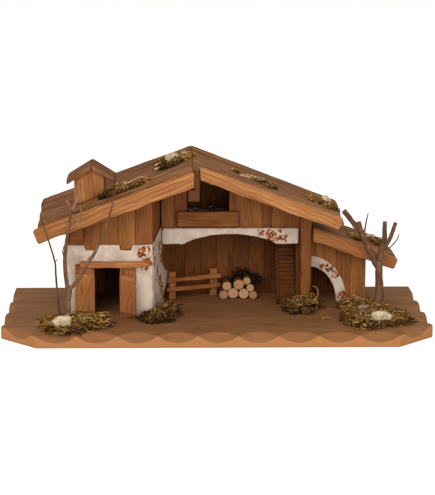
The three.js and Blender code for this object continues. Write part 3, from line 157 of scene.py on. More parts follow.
@dataclass
class Surface:
    """Points and faces of one or more closed shells, with a value at each point."""

    points: Array
    quads: Array
    triangles: Array
    data: dict[str, Array]

    @staticmethod
    def from_rings(rings: Array, data: dict[str, Array]) -> Surface:
        """Closes rings of points into a shell: neighbours join, and each end fans to a pole.

        Args:
            rings: Points as ring, place on the ring, direction.
            data: Values for each point of the rings.

        Returns:
            The shell, with its faces pointing out.
        """
        count, sides = rings.shape[:2]
        points = np.concatenate([rings.reshape(-1, 3), rings[:1].mean(1), rings[-1:].mean(1)])
        index = np.arange(count * sides).reshape(count, sides)
        beside = np.roll(index, -1, axis=1)
        quads = np.stack([index[:-1], beside[:-1], beside[1:], index[1:]], -1).reshape(-1, 4)
        first = np.stack([beside[0], index[0], np.full(sides, count * sides)], -1)
        last = np.stack([index[-1], beside[-1], np.full(sides, count * sides + 1)], -1)
        values = {}
        for name, value in data.items():
            flat = value.reshape(count * sides, *value.shape[2:])
            values[name] = np.concatenate([flat, value[:1].mean(1), value[-1:].mean(1)])
        shell = Surface(points, quads, np.concatenate([first, last]), values)
        if shell.volume() < 0:
            shell.quads = shell.quads[:, ::-1]
            shell.triangles = shell.triangles[:, ::-1]
        return shell

    def volume(self) -> float:
        """Signed volume: the sum of the tetrahedra from the first point to each triangle."""
        split = np.concatenate([self.triangles, self.quads[:, [0, 1, 2]], self.quads[:, [0, 2, 3]]])
        a, b, c = (self.points[split[:, k]] - self.points[0] for k in range(3))
        return float(np.einsum("ij,ij->i", a, np.cross(b, c)).sum() / 6)

    @staticmethod
    def join(shells: Sequence[Surface]) -> Surface:
        """Puts shells together as one surface.

        Args:
            shells: The shells. A value that one lacks is 0 there.

        Returns:
            One surface that holds them all.
        """
        names = {name: value.shape[1:] for shell in shells for name, value in shell.data.items()}
        starts = np.cumsum([0] + [len(shell.points) for shell in shells[:-1]])
        data = {}
        for name, shape in names.items():
            parts = [shell.data.get(name, np.zeros((len(shell.points), *shape))) for shell in shells]
            data[name] = np.concatenate(parts)
        return Surface(
            np.concatenate([shell.points for shell in shells]),
            np.concatenate([shell.quads + start for shell, start in zip(shells, starts)]),
            np.concatenate([shell.triangles + start for shell, start in zip(shells, starts)]),
            data,
        )

    def mesh(self, name: str) -> bpy.types.Mesh:
        """Makes a Blender mesh in metres, shaded smooth, with its values as attributes.

        Args:
            name: The mesh's name.

        Returns:
            The mesh.
        """
        made = bpy.data.meshes.new(name)
        made.from_pydata((self.points * MM).tolist(), [], self.quads.tolist() + self.triangles.tolist())
        for key, value in self.data.items():
            kind, slot = ("FLOAT_VECTOR", "vector") if value.ndim == 2 else ("FLOAT", "value")
            scaled = value * MM if key == "grain" else value
            attribute = made.attributes.new(key, kind, "POINT")
            attribute.data.foreach_set(slot, scaled.astype(np.float32).ravel())
        made.polygons.foreach_set("use_smooth", np.ones(len(made.polygons), bool))
        made.update()
        return made


@dataclass(frozen=True)
class Axes:
    """Three directions for drawing a piece: a and b span its face, and c is its depth."""

    a: Triple
    b: Triple
    c: Triple
    origin: Triple = (0.0, 0.0, 0.0)

    def place(self, a: Array, b: Array, c: Array) -> Array:
        """Points at coordinates along the three directions, in millimetres."""
        grid = np.stack(np.broadcast_arrays(a, b, c), -1)
        return grid @ np.array([self.a, self.b, self.c]) + np.array(self.origin)


FRONT = Axes((1, 0, 0), (0, 0, 1), (0, 1, 0))
SIDE = Axes((0, 1, 0), (0, 0, 1), (1, 0, 0))
PLAN = Axes((1, 0, 0), (0, 1, 0), (0, 0, 1))


def turned(degrees: float, origin: Triple) -> Axes:
    """The front view's axes, turned about the upright and moved to an origin."""
    sine, cosine = math.sin(math.radians(degrees)), math.cos(math.radians(degrees))
    return Axes((cosine, sine, 0), (0, 0, 1), (-sine, cosine, 0), origin)


@dataclass(frozen=True)
class Relief:
    """The unevenness of a surface: amplitudes and cell sizes in millimetres.

    Ripples run with the grain, as weather leaves them. Scoops are the hollows of an axe or a
    gouge. Roughness is the same in every direction.
    """

    ripple: float = 0.05
    ripple_cell: Triple = (50, 1.8, 1.8)
    scoop: float = 0.0
    scoop_cell: Triple = (26, 13, 13)
    rough: float = 0.0
    rough_cell: float = 5.0

    def height(self, points: Array, grain: Array, seed: int) -> Array:
        """How far each point stands out.

        Args:
            points: Places in the row frame.
            grain: The same places along and across the grain.
            seed: Another seed gives another pattern.

        Returns:
            Millimetres along the surface's normal.
        """
        total = self.ripple * noise(grain, self.ripple_cell, seed)
        if self.scoop:
            total -= self.scoop * np.abs(noise(grain, self.scoop_cell, seed + 5, 1))
        if self.rough:
            total += self.rough * noise(points, self.rough_cell, seed + 9, 3)
        return total


PLANED = Relief()
SAWN_BOARD = Relief(ripple=0.16, ripple_cell=(55, 2.4, 2.4))
WEATHERED = Relief(ripple=0.16, ripple_cell=(60, 2.6, 2.6), rough=0.2, rough_cell=20)
HEWN = Relief(ripple=0.1, scoop=1.25, scoop_cell=(22, 11, 11), rough=0.12, rough_cell=9)
HEWN_POST = Relief(ripple=0.2, scoop=0.9, scoop_cell=(34, 12, 12), rough=0.1)
HEWN_SILL = Relief(ripple=0.25, ripple_cell=(50, 3, 3), scoop=0.4)
WORN_STACK = Relief(ripple=0.25, ripple_cell=(45, 3, 3), rough=0.1)
PLASTERED = Relief(ripple=0, rough=0.42, rough_cell=7)
PLASTERED_BAND = Relief(ripple=0, rough=0.4, rough_cell=6)


def section_template(face_cells: int, edge_cells: int) -> Array:
    """A rounded rectangle as shares of its sides and of its corner radius.

    Each corner is an arc of four points, and cells are spread evenly between the arcs.

    Args:
        face_cells: Cells along the rise.
        edge_cells: Cells along the depth.

    Returns:
        One row for each point: shares of rise, radius, depth and radius.
    """
    corners = []
    for k, (up, back) in enumerate([(1, 0), (1, 1), (0, 1), (0, 0)]):
        angle = np.linspace(0, math.pi / 2, 4) + (k - 1) * math.pi / 2
        one = np.ones(4)
        across = 1 - 2 * up + np.cos(angle)
        deep = 1 - 2 * back + np.sin(angle)
        corners.append(np.stack([up * one, across, back * one, deep], -1))
    rows = []
    for k, corner in enumerate(corners):
        cells = edge_cells if k % 2 == 0 else face_cells
        share = np.linspace(0, 1, cells + 1)[1:-1, None]
        rows += [corner, corner[-1] + share * (corners[(k + 1) % 4][0] - corner[-1])]
    return np.concatenate(rows)


def surface_normals(rings: Array) -> Array:
    """Unit normals of a ring grid, from the cross product of its two tangents.

    Args:
        rings: Points as ring, place on the ring, direction.

    Returns:
        Normals that point away from the middle of each ring.
    """
    around = np.roll(rings, -1, axis=1) - np.roll(rings, 1, axis=1)
    normal = unit(np.cross(np.gradient(rings, axis=0), around), 1e-12)
    outward = np.einsum("ijk,ijk->", normal, rings - rings.mean(1, keepdims=True))
    return normal if outward > 0 else -normal


def straight(start: Pair, end: Pair) -> Curve:
    """A straight line between two points of the face, as a curve."""
    first, last = np.array(start, float), np.array(end, float)
    return lambda t: first + np.asarray(t)[:, None] * (last - first)


def timed_path(shares: Sequence[float], points: Sequence[Pair]) -> Curve:
    """Straight lines through points that are reached at given shares of the way."""
    at = np.array(points, float)
    return lambda t: np.stack([np.interp(t, shares, at[:, 0]), np.interp(t, shares, at[:, 1])], -1)


def level(height: float) -> Curve:
    """A height that is the same everywhere."""
    return lambda place: height + 0 * np.asarray(place, float)


def graph(ends: Pair, height: Curve) -> Curve:
    """A curve that follows a height over a range.

    Args:
        ends: Where the range begins and ends.
        height: Gives the height at each place.

    Returns:
        The curve.
    """

    def curve(t: Array) -> Array:
        """Points of the curve at the shares t."""
        along = ends[0] + (ends[1] - ends[0]) * np.asarray(t)
        return np.stack([along, height(along) * np.ones_like(along)], -1)

    return curve


def smooth_path(points: Array, count: int) -> Array:
    """A Catmull-Rom curve: each stretch is the cubic with the slopes of its neighbours.

    Args:
        points: The points that it passes.
        count: How many points are worked out.

    Returns:
        Points of the curve.
    """
    padded = np.concatenate([2 * points[:1] - points[1:2], points, 2 * points[-1:] - points[-2:-1]])
    at = np.linspace(0, len(points) - 1 - 1e-9, count)
    k = at.astype(int)
    u = (at - k)[:, None]
    p0, p1, p2, p3 = (padded[k + j] for j in range(4))
    square, cube = u * u, u * u * u
    bend, twist = 2 * p0 - 5 * p1 + 4 * p2 - p3, 3 * p1 - p0 - 3 * p2 + p3
    return 0.5 * (2 * p1 + (p2 - p0) * u + bend * square + twist * cube)


@dataclass
class Slab:
    """A board or a plate: a rounded rectangle carried from one end of two curves to the other."""

    lower: Curve
    upper: Curve
    depth: Pair
    axes: Axes = FRONT
    edge: float = 0.7  # radius of the rounded edges
    cells: Triple = (3.0, 3.0, 4.0)  # mm of the grid's cells along, up and through the slab
    relief: Relief = PLANED
    grain_up: bool = False
    tint: float = 0.0
    patches: tuple[Triple, ...] = ()  # middle and reach of each place that is bare of plaster
    corners: tuple[float, ...] = ()  # shares of the length that get a ring of their own
    seed: int = 0

    def surface(self) -> Surface:
        """Builds the slab.

        The rings lie between the two curves, drawn in at both ends to round them, and each
        point is then moved along its normal by the relief.

        Returns:
            A closed shell with its grain, tint, sawn and bare values.
        """
        probes = np.linspace(0, 1, 65)
        low, high = self.lower(probes), self.upper(probes)
        length = float(np.linalg.norm(np.diff((low + high) / 2, axis=0), axis=1).sum())
        tallest = np.linalg.norm(high - low, axis=1)[::8].max()
        near, depth = self.depth[0], self.depth[1] - self.depth[0]
        radius = min(self.edge, 0.45 * depth, 0.45 * tallest, 0.3 * length)
        cells = (max(2, round(tallest / self.cells[1])), max(2, round(depth / self.cells[2])))
        template = section_template(*cells)
        t, drawn = self.stations(length, radius, min(depth, tallest))
        low, high = self.lower(t), self.upper(t)
        rise = np.maximum(np.linalg.norm(high - low, axis=1), 2.2 * radius)[:, None]
        s = template[:, 0] * rise + template[:, 1] * radius
        c = template[:, 2] * depth + template[:, 3] * radius + 0 * rise
        s = rise / 2 + (s - rise / 2) * (1 - 2 * np.minimum(drawn[:, None] / rise, 0.49))
        c = depth / 2 + (c - depth / 2) * (1 - 2 * np.minimum(drawn / depth, 0.49)[:, None])
        face = low[:, None] + unit(high - low)[:, None] * s[..., None]
        rings = self.axes.place(face[..., 0], face[..., 1], near + c)
        along = t[:, None] * length + 0 * s
        run = [s, along, c] if self.grain_up else [along, s, c]
        grain = np.stack(run, -1) + np.array(GRAIN_SHIFT) * self.seed
        bare = self.bareness(face, rings)
        height = self.relief.height(rings, grain, self.seed) - COAT * bare
        rings = rings + surface_normals(rings) * height[..., None]
        if self.grain_up:
            sawn = ((s < 0.3) | (s > rise - 0.3)).astype(float)
        else:
            sawn = (drawn > 0.2 * radius)[:, None] * np.ones_like(s)
        data = {"grain": grain, "sawn": sawn, "tint": np.full_like(s, self.tint), "bare": bare}
        return Surface.from_rings(rings, data)

    def stations(self, length: float, radius: float, thin: float) -> tuple[Array, Array]:
        """Where the rings lie, and how far each is drawn in.

        Args:
            length: Length of the slab.
            radius: Radius of its rounded ends.
            thin: The smaller side of its section.

        Returns:
            Shares of the length, and millimetres from each side.
        """
        lead = radius / length
        start = np.array([0, 0, 0.3 * lead, lead])
        inset = np.array([0.35 * thin, radius, 0.3 * radius, 0])
        inner = np.linspace(lead, 1 - lead, max(3, round(length / self.cells[0]) + 1))[1:-1]
        inner = np.sort(np.concatenate([inner, self.corners]))
        t = np.concatenate([start, inner, 1 - start[::-1]])
        return t, np.concatenate([inset, 0 * inner, inset[::-1]])

    def bareness(self, face: Array, rings: Array) -> Array:
        """How bare of plaster each point is.

        Each patch fades out at its reach, and noise breaks up its rim.

        Args:
            face: Points in the two directions of the face.
            rings: The same points in the row frame.

        Returns:
            Shares from 0 to 1.
        """
        bare = np.zeros(face.shape[:-1])
        if not self.patches:
            return bare
        ragged = noise(rings, 4.5, 31, 3)
        for a, b, reach in self.patches:
            away = np.hypot(face[..., 0] - a, face[..., 1] - b) / reach
            bare = np.maximum(bare, smoothstep(1 - away + 0.45 * ragged, 0, 0.14))
        return bare


def profile(ends: Pair, lower: Curve, upper: Curve, depth: Pair, **options: object) -> Slab:
    """A slab between two heights over a range of the first direction, with any other fields."""
    return Slab(graph(ends, lower), graph(ends, upper), depth, **options)


def board(
    a: Pair, b: Pair, depth: Pair, axes: Axes = FRONT, upright: bool = False, **options: object
) -> Slab:
    """A straight board.

    Args:
        a: Where it begins and ends along the first direction.
        b: Its lower and upper edge.
        depth: Where its depth begins and ends.
        axes: The directions.
        upright: Whether its grain runs up.
        options: Other fields of the slab.

    Returns:
        The slab.
    """
    across, up = (a[1], b[0]), (a[0], b[1])
    first, second = (up, across) if upright else (across, up)
    return Slab(straight((a[0], b[0]), first), straight(second, (a[1], b[1])), depth, axes, **options)


@dataclass
class Limb:
    """A round limb: rings carried along a smooth path, thick at its root and thin at its tip."""

    points: Sequence[Triple] | Array
    thick: float
    tip: float
    sides: int = 12
    step: float = 2.2
    bark: float = 0.12  # unevenness as a share of the radius
    sawn_tip: bool = True
    reference: Triple = (0.0, 1.0, 0.0)  # a direction that the limb doesn't run in
    tint: float = 0.0
    seed: int = 0

    def surface(self) -> Surface:
        """Builds the limb.

        A ring's radius falls evenly along the path and is varied by noise that is long with
        the grain. The tip is a flat sawn end.

        Returns:
            The closed shell.
        """
        points = np.array(self.points, float)
        length = np.linalg.norm(np.diff(points, axis=0), axis=1).sum()
        count = max(8, round(length / self.step))
        spine = smooth_path(points, count)
        wander = [noise(spine + [31 * k, 0, 0], 17, self.seed + k) for k in range(3)]
        spine = spine + self.thick * self.bark * np.stack(wander, -1)
        along = unit(np.gradient(spine, axis=0))
        across = unit(np.cross(np.array(self.reference), along))
        rows = np.concatenate([np.zeros(2, int), np.arange(count), np.full(3, count - 1)])
        angle = np.linspace(0, 2 * math.pi, self.sides, endpoint=False)
        direction = spokes(angle, across[rows], np.cross(along, across)[rows])
        radius = np.linspace(self.thick, self.tip, count)[rows]
        shrink = np.concatenate([[0.4, 0.85], np.ones(count), [0.97, 0.88, 0.45]])
        middle = spine[rows][:, None]
        stretched = (middle + direction * radius[:, None, None]) * [1, 1, 0.35] + [0, 0, 0.55]
        rough = 1 + self.bark * noise(stretched, max(2.2, 0.9 * self.thick), self.seed + 3, 3)
        reach = (radius * shrink)[:, None]
        rings = middle + direction * reach[..., None] * rough[..., None]
        sawn = np.zeros(rings.shape[:2])
        sawn[-2:] = self.sawn_tip
        steps = np.arange(len(rows))[:, None] * self.step + 0 * angle
        grain = np.stack([np.cos(angle) * reach, np.sin(angle) * reach, steps], -1)
        data = {"sawn": sawn, "tint": np.full_like(sawn, self.tint), "grain": grain}
        return Surface.from_rings(rings, data)


def node(
    tree: bpy.types.NodeTree, kind: str | bpy.types.Node, settings: dict | None = None, **links: object
) -> bpy.types.Node:
    """Adds a node with its settings and links, or completes one that is there.

    Args:
        tree: The node tree.
        kind: The node's type name after ShaderNode, or the node.
        settings: Its properties, and input values by name or by number.
        links: Nodes or sockets that feed its inputs, by name with _ for a space, or as i0.

    Returns:
        The node.
    """
    made = tree.nodes.new("ShaderNode" + kind) if isinstance(kind, str) else kind
    for key, value in (settings or {}).items():
        if isinstance(key, int) or key in made.inputs:
            made.inputs[key].default_value = value
        else:
            setattr(made, key, value)
    for key, source in links.items():
        name = int(key[1:]) if key[0] == "i" and key[1:].isdigit() else key.replace("_", " ")
        socket = source.outputs[0] if isinstance(source, bpy.types.Node) else source
        tree.links.new(socket, made.inputs[name])
    return made


def ramp(tree: bpy.types.NodeTree, factor: object, stops: Sequence[tuple[float, int]]) -> bpy.types.Node:
    """Turns a factor into a colour along a few stops.

    Args:
        tree: The node tree.
        factor: The node or socket that gives the factor.
        stops: Places from 0 to 1, each with its sRGB hex colour.

    Returns:
        The node that gives the colour.
    """
    made = node(tree, "ValToRGB", Fac=factor)
    elements = made.color_ramp.elements
    while len(elements) < len(stops):
        elements.new(0.5)
    for element, (place, code) in zip(elements, stops):
        element.position = place
        element.color = hex_to_linear(code)
    return made


def new_material(name: str) -> tuple[bpy.types.Material, bpy.types.NodeTree, bpy.types.Node]:
    """Makes a node material, and gives it with its tree and its Principled node."""
    material = bpy.data.materials.new(name)
    material.use_nodes = True
    return material, material.node_tree, material.node_tree.nodes["Principled BSDF"]


def mesh_values(tree: bpy.types.NodeTree) -> list[bpy.types.NodeSocket]:
    """The grain, tint and sawn values of the mesh, as sockets of a material."""
    outputs = {"grain": "Vector", "tint": "Fac", "sawn": "Fac"}
    return [node(tree, "Attribute", {"attribute_name": key}).outputs[out] for key, out in outputs.items()]


@dataclass(frozen=True)
class Wood:
    """Stained softwood. Its late-wood lines are darker and dull, and the stain is blotchy."""

    name: str
    slot: str
    dark: int
    middle: int
    light: int
    sawn: int
    line: float = 3.2  # mm between late-wood lines
    streak: float = 1.1  # mm width of the fine streaks
    streak_length: float = 45.0  # mm
    blotch: Triple = (90.0, 20.0, 20.0)  # mm of a blotch of stain, along and across the grain
    knot: Triple = (85.0, 22.0, 22.0)  # mm between knots
    knots: float = 0.7  # how dark the knots are
    roughness: float = 0.62
    bump: float = 0.25  # mm
    gloss: float = 0.12  # of the oil that is left on the stain

    def material(self) -> bpy.types.Material:
        """Builds the material from the grain, tint and sawn values of the mesh."""
        made, tree, shader = new_material(self.name)
        grain, tint, sawn = mesh_values(tree)
        wave = self.line * 10 / (2 * math.pi)
        sizes = ((self.streak_length, self.streak, self.streak), self.blotch, (wave * 14, wave, wave * 1.6))
        fine_at, blotch_at, line_at, knot_at = (
            node(tree, "Mapping", {"vector_type": "TEXTURE", "Scale": np.array(size) * MM}, Vector=grain)
            for size in (*sizes, self.knot)
        )
        fine = node(tree, "TexNoise", {"Scale": 1, "Detail": 4, "Roughness": 0.62}, Vector=fine_at)
        blotch = node(tree, "TexNoise", {"Scale": 1, "Detail": 3, "Distortion": 0.6}, Vector=blotch_at)
        waves = {"bands_direction": "DIAGONAL", "Distortion": 5, "Detail": 2, "Detail Scale": 0.8}
        lines = node(tree, "TexWave", {"Scale": 1, **waves}, Vector=line_at).outputs["Fac"]
        streaky = node(tree, "Mix", {0: 0.2}, i2=fine, i3=lines)
        mixed = node(tree, "Mix", {0: 0.42}, i2=streaky, i3=blotch)
        colour = ramp(tree, mixed, [(0.3, self.dark), (0.5, self.middle), (0.68, self.light)])
        knot = node(tree, "TexVoronoi", {"Scale": 1}, Vector=knot_at)
        knotty = node(tree, "MapRange", {1: 0.06, 2: 0.2, 3: self.knots, 4: 0.0}, Value=knot)
        darkest = {"data_type": "RGBA", 7: hex_to_linear(self.dark)}
        knotted = node(tree, "Mix", darkest, i0=knotty, i6=colour).outputs[2]
        cut = {"data_type": "RGBA", 7: hex_to_linear(self.sawn)}
        ends = node(tree, "Mix", cut, i0=sawn, i6=knotted).outputs[2]
        brightness = node(tree, "Math", {"operation": "ADD", 1: 1.0}, i0=tint)
        hue = node(tree, "Math", {"operation": "MULTIPLY_ADD", 1: 0.03, 2: 0.5}, i0=tint)
        toned = node(tree, "HueSaturation", Hue=hue, Value=brightness, Color=ends)
        bump = node(tree, "Bump", {"Strength": 0.6, "Distance": self.bump * MM}, Height=streaky)
        shine = {"Roughness": self.roughness, "Specular IOR Level": self.gloss}
        node(tree, shader, shine, Base_Color=toned, Normal=bump)
        return made


@dataclass(frozen=True)
class Plaster:
    """Lime-white modelling plaster brushed on wood: chalky, and grey where the coat is thin.

    Where it has come off, red-brown brick shows in blotches, with white crumbs left on it.
    """

    name: str = "rough white plaster"
    slot: str = "plaster"
    white: int = 0xE5D6CB
    grey: int = 0xC1B1A4
    bricks: tuple[tuple[float, int], ...] = (
        (0.34, 0x5A3117), (0.44, 0x8F5229), (0.54, 0xB56E3C), (0.575, 0xCC9166), (0.6, 0xEADCCC),
    )
    clouds: float = 45.0  # of thin coat, in a metre
    blotches: float = 260.0  # of brick, in a metre
    grit: float = 700.0  # grains in a metre, coarser than real lime so that they show

    def material(self) -> bpy.types.Material:
        """Builds the material: white, with brick where the bare value says so."""
        made, tree, shader = new_material(self.name)
        place = node(tree, "TexCoord").outputs["Object"]
        bare = node(tree, "Attribute", {"attribute_name": "bare"}).outputs["Fac"]
        cloud = node(tree, "TexNoise", {"Scale": self.clouds, "Detail": 5, "Roughness": 0.65}, Vector=place)
        coat = ramp(tree, cloud, [(0.3, self.grey), (0.58, self.white)])
        blotches = node(tree, "TexNoise", {"Scale": self.blotches, "Detail": 3}, Vector=place)
        brick = ramp(tree, blotches, self.bricks)
        colour = node(tree, "Mix", {"data_type": "RGBA"}, i0=bare, i6=coat, i7=brick).outputs[2]
        grit = node(tree, "TexNoise", {"Scale": self.grit, "Detail": 4}, Vector=place)
        bump = node(tree, "Bump", {"Strength": 0.5, "Distance": 0.3 * MM}, Height=grit)
        chalky = {"Roughness": 0.92, "Specular IOR Level": 0.2}
        node(tree, shader, chalky, Base_Color=colour, Normal=bump)
        return made


@dataclass(frozen=True)
class Mottled:
    """A finish of a few colours blended by noise and by the tint of each strand or lump.

    It serves bark, dry moss, straw and pebbles, which differ in colours, scale and gloss.
    """

    name: str
    slot: str
    stops: tuple[tuple[float, int], ...]
    scale: float  # noise cells in a metre
    tint_share: float = 0.0
    bump: float = 0.3  # mm
    sawn: int = 0xB58E68
    sawn_dark: int = 0x8A6444
    rings: float = 0.9  # mm between the rings of a sawn end
    stretch: Triple = (1, 1, 1)

    def material(self) -> bpy.types.Material:
        """Builds the material: mottled all over, with growth rings on its sawn ends."""
        made, tree, shader = new_material(self.name)
        place = node(tree, "TexCoord").outputs["Object"]
        grain, tint, sawn = mesh_values(tree)
        stretched = node(tree, "Mapping", {"Scale": self.stretch}, Vector=place)
        clouds = {"Scale": self.scale, "Detail": 5, "Roughness": 0.6}
        cloud = node(tree, "TexNoise", clouds, Vector=stretched)
        blended = node(tree, "Mix", {0: self.tint_share}, i2=cloud, i3=tint)
        colour = ramp(tree, blended, self.stops)
        flat = node(tree, "VectorMath", {"operation": "MULTIPLY", 1: (1, 1, 0)}, i0=grain)
        wide = {"vector_type": "TEXTURE", "Scale": (self.rings * MM * 10 / (2 * math.pi),) * 3}
        spread = node(tree, "Mapping", wide, Vector=flat)
        circles = {"wave_type": "RINGS", "rings_direction": "Z", "Scale": 1, "Distortion": 3, "Detail": 2}
        rings = node(tree, "TexWave", circles, Vector=spread).outputs["Fac"]
        ringed = node(tree, "Mix", {0: 0.55}, i2=cloud, i3=rings)
        toned = node(tree, "Math", {"operation": "ADD"}, i0=ringed, i1=tint)
        face = ramp(tree, toned, [(0.25, self.sawn_dark), (0.6, self.sawn)])
        ends = node(tree, "Mix", {"data_type": "RGBA"}, i0=sawn, i6=colour, i7=face).outputs[2]
        bump = node(tree, "Bump", {"Strength": 0.6, "Distance": self.bump * MM}, Height=cloud)
        node(tree, shader, {"Roughness": 0.9, "Specular IOR Level": 0.25}, Base_Color=ends, Normal=bump)
        return made


class Finish(Enum):
    """The finishes of the stable. Each one's value is what builds its material."""

    # The base is planed and dull, with wide grain and pale gouge cuts.
    BASE = Wood(
        "stained base board", "base_wood", 0x7B5236, 0x926746, 0xA57755, 0xB98257, line=5, streak=1.6,
        knots=0.2, gloss=0.03,
    )
    # Wall boards are a warm brown, darker in the gable with painted shade from the roof over it, and
    # darkest where light doesn't reach, which is painted shade too.
    WALL = Wood("stained wall board", "wall_wood", 0x663A1C, 0x925B33, 0xAE7343, 0x8A5632)
    # painted shade: the gable's sawn ends are darker than the wall boards', for the shade under the roof
    GABLE = Wood("stained gable board", "wall_wood", 0x693D1C, 0x945D34, 0xB27746, 0x5E3A22)
    # painted shade: these boards stand inside the stall and under the roofs, and their dark colours stand
    # for that shade
    DARK = Wood("board in painted shade", "dark_wood", 0x4E2A13, 0x764620, 0x925B30, 0x5A3216)
    # Weather has raised the grain of the roof boards and greyed them.
    ROOF = Wood(
        "weathered roof board", "roof_wood", 0x54351F, 0x8B6040, 0xBE946C, 0x85593A, bump=0.5,
        roughness=0.8, gloss=0.04, streak=1.8, streak_length=26,
    )
    # Bars cut with an axe show light wood with broad streaks.
    HEWN = Wood(
        "hewn fascia wood", "hewn_wood", 0x85502A, 0xA96F43, 0xC7935F, 0xAC794B, line=6, streak=3,
        streak_length=32, knots=0.45,
    )
    LEAN_FASCIA = Wood(
        "reddish fascia wood", "hewn_wood", 0x85502C, 0xA86C40, 0xC58855, 0xB0764A, streak=1.8, knots=0.4
    )
    POST = Wood("hewn post wood", "wall_wood", 0x6B3F1D, 0x8F5C32, 0xA9713F, 0x8F5C32)
    DOOR = Wood("door wood", "door_wood", 0x7B4723, 0xA66B40, 0xC88C59, 0x9A6238)
    STEP = Wood("stair wood", "dark_wood", 0x43220D, 0x61371A, 0x7C4C26, 0x4A2A14)
    PLASTER = Plaster()
    # Bark is grey-brown and cracked along the twig. Its sawn ends are pale.
    BARK = Mottled(
        "dry bark", "bark", ((0.3, 0x50372A), (0.5, 0x75543F), (0.7, 0xA07C60)), 160, tint_share=0.3,
        stretch=(1, 1, 0.3), sawn=0xB8967A, bump=0.6,
    )
    # Dry moss is nearly black in its depth, which is painted shade, and straw yellow at its tips, partly
    # its own colour and partly painted highlight.
    MOSS = Mottled(
        "dry moss", "moss",
        ((0.08, 0x22150A), (0.3, 0x523616), (0.5, 0x8C642B), (0.7, 0xBC914E), (0.9, 0xE8CF9C)), 110,
        tint_share=0.82,
    )
    # Moss behind the firewood: dark of itself, and darker still with painted shade of the stall
    DARK_MOSS = Mottled(
        "dark moss in painted shade", "moss", ((0.2, 0x1C110C), (0.5, 0x351F17), (0.9, 0x553628)), 90, tint_share=0.8
    )
    # painted shade: the straw's colours are darkened for the shade of the loft behind the window
    STRAW = Mottled(
        "straw in painted shade", "straw", ((0.2, 0x241C14), (0.5, 0x4A3E32), (0.9, 0xA59884)), 90, tint_share=0.85
    )
    LOG = Mottled(
        "firewood bark", "log_wood", ((0.3, 0x3A271A), (0.5, 0x5A402E), (0.7, 0x7B604B)), 220,
        sawn=0xE0B084, sawn_dark=0x9C6E48,
    )
    DRY_STICK = Mottled(
        "peeled stick", "straw", ((0.3, 0x9C7E5C), (0.5, 0xC4A680), (0.7, 0xE0C8A4)), 200, sawn=0xF0DCC0
    )
    # Pebbles are matt limestone, mottled in patches of a few millimetres.
    PALE_STONE = Mottled(
        "pale pebble", "pale_stone", ((0.32, 0xA38F70), (0.5, 0xCFBFA0), (0.66, 0xEADFCA)), 160, bump=0.6
    )
    GREY_STONE = Mottled(
        "grey pebble", "pale_stone", ((0.3, 0x6B5F4B), (0.5, 0x8F8268), (0.7, 0xB3A78C)), 140, bump=0.5
    )

    def made(self) -> bpy.types.Material:
        """The finish's material, built the first time that it is asked for."""
        return bpy.data.materials.get(self.value.name) or self.value.material()


def piece(
    name: str, shapes: Sequence[Surface | Slab | Limb], finish: Finish, stands_for: str = "",
    body: str = BODY,
) -> None:
    """Makes one piece of the visible model.

    Args:
        name: The piece's name.
        shapes: What it is made of.
        finish: Its finish.
        stands_for: The CAD node that it replaces, if there is one.
        body: The body that it rides on.
    """
    shells = [shape if isinstance(shape, Surface) else shape.surface() for shape in shapes]
    made = bpy.data.objects.new(name, Surface.join(shells).mesh(name))
    bpy.context.scene.collection.objects.link(made)
    made.data.materials.append(finish.made())
    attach(made, body)
    if stands_for:
        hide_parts(stands_for)
    LOG.info("%s: %d faces on %s", name, len(made.data.polygons), body)


@dataclass(frozen=True)
class Box:
    """The space that a CAD node takes up: its lowest and highest X, Y and Z in millimetres."""

    x: Pair
    y: Pair
    z: Pair


def span(name: str) -> Box:
    """The box of a CAD node."""
    return Box(*((low / MM, high / MM) for low, high in zip(*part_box(name))))


@dataclass
class Roofline:
    """Heights of the two roofs over a given X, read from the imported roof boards."""

    ridge_x: float
    ridge_z: float
    lean_x: float  # left edge of the lean-to roof
    lean_z: float  # its top there
    post_right: float
    drop: float = ROOF_BOARD / math.cos(ROOF_PITCH)

    @staticmethod
    def read() -> Roofline:
        """Reads the ridge and the top of the lean-to roof from the frame."""
        left, lean = span("roof_left_front"), span("lean_to_roof_rear")
        ridge_x = left.x[1] + GAP / 2
        ridge_z = left.z[1] + math.tan(ROOF_PITCH) * GAP / 2
        return Roofline(ridge_x - RIDGE_SHIFT, ridge_z, lean.x[0], lean.z[1], span("lean_to_fascia").x[0])

    def main_top(self, x: Array) -> Array:
        """Top of the main roof: it falls by the pitch on both sides of the ridge."""
        return self.ridge_z - math.tan(ROOF_PITCH) * np.abs(x - self.ridge_x)

    def main_under(self, x: Array) -> Array:
        """Underside of the main roof boards."""
        return self.main_top(x) - self.drop

    def lean_top(self, x: Array) -> Array:
        """Top of the lean-to roof."""
        return self.lean_z - math.tan(ROOF_PITCH) * (x - self.lean_x)

    def lean_under(self, x: Array) -> Array:
        """Underside of the lean-to roof boards."""
        return self.lean_top(x) - self.drop

    def below_main(self, x: Array) -> Array:
        """Top of what stands under the main roof."""
        return self.main_under(x) - GAP

    def below_lean(self, x: Array) -> Array:
        """Top of what stands under the lean-to roof."""
        return self.lean_under(x) - GAP

    def on_main(self, x: Array) -> Array:
        """Underside of what lies on the main roof."""
        return self.main_top(x) + GAP

    def on_lean(self, x: Array) -> Array:
        """Underside of what lies on the lean-to roof."""
        return self.lean_top(x) + GAP


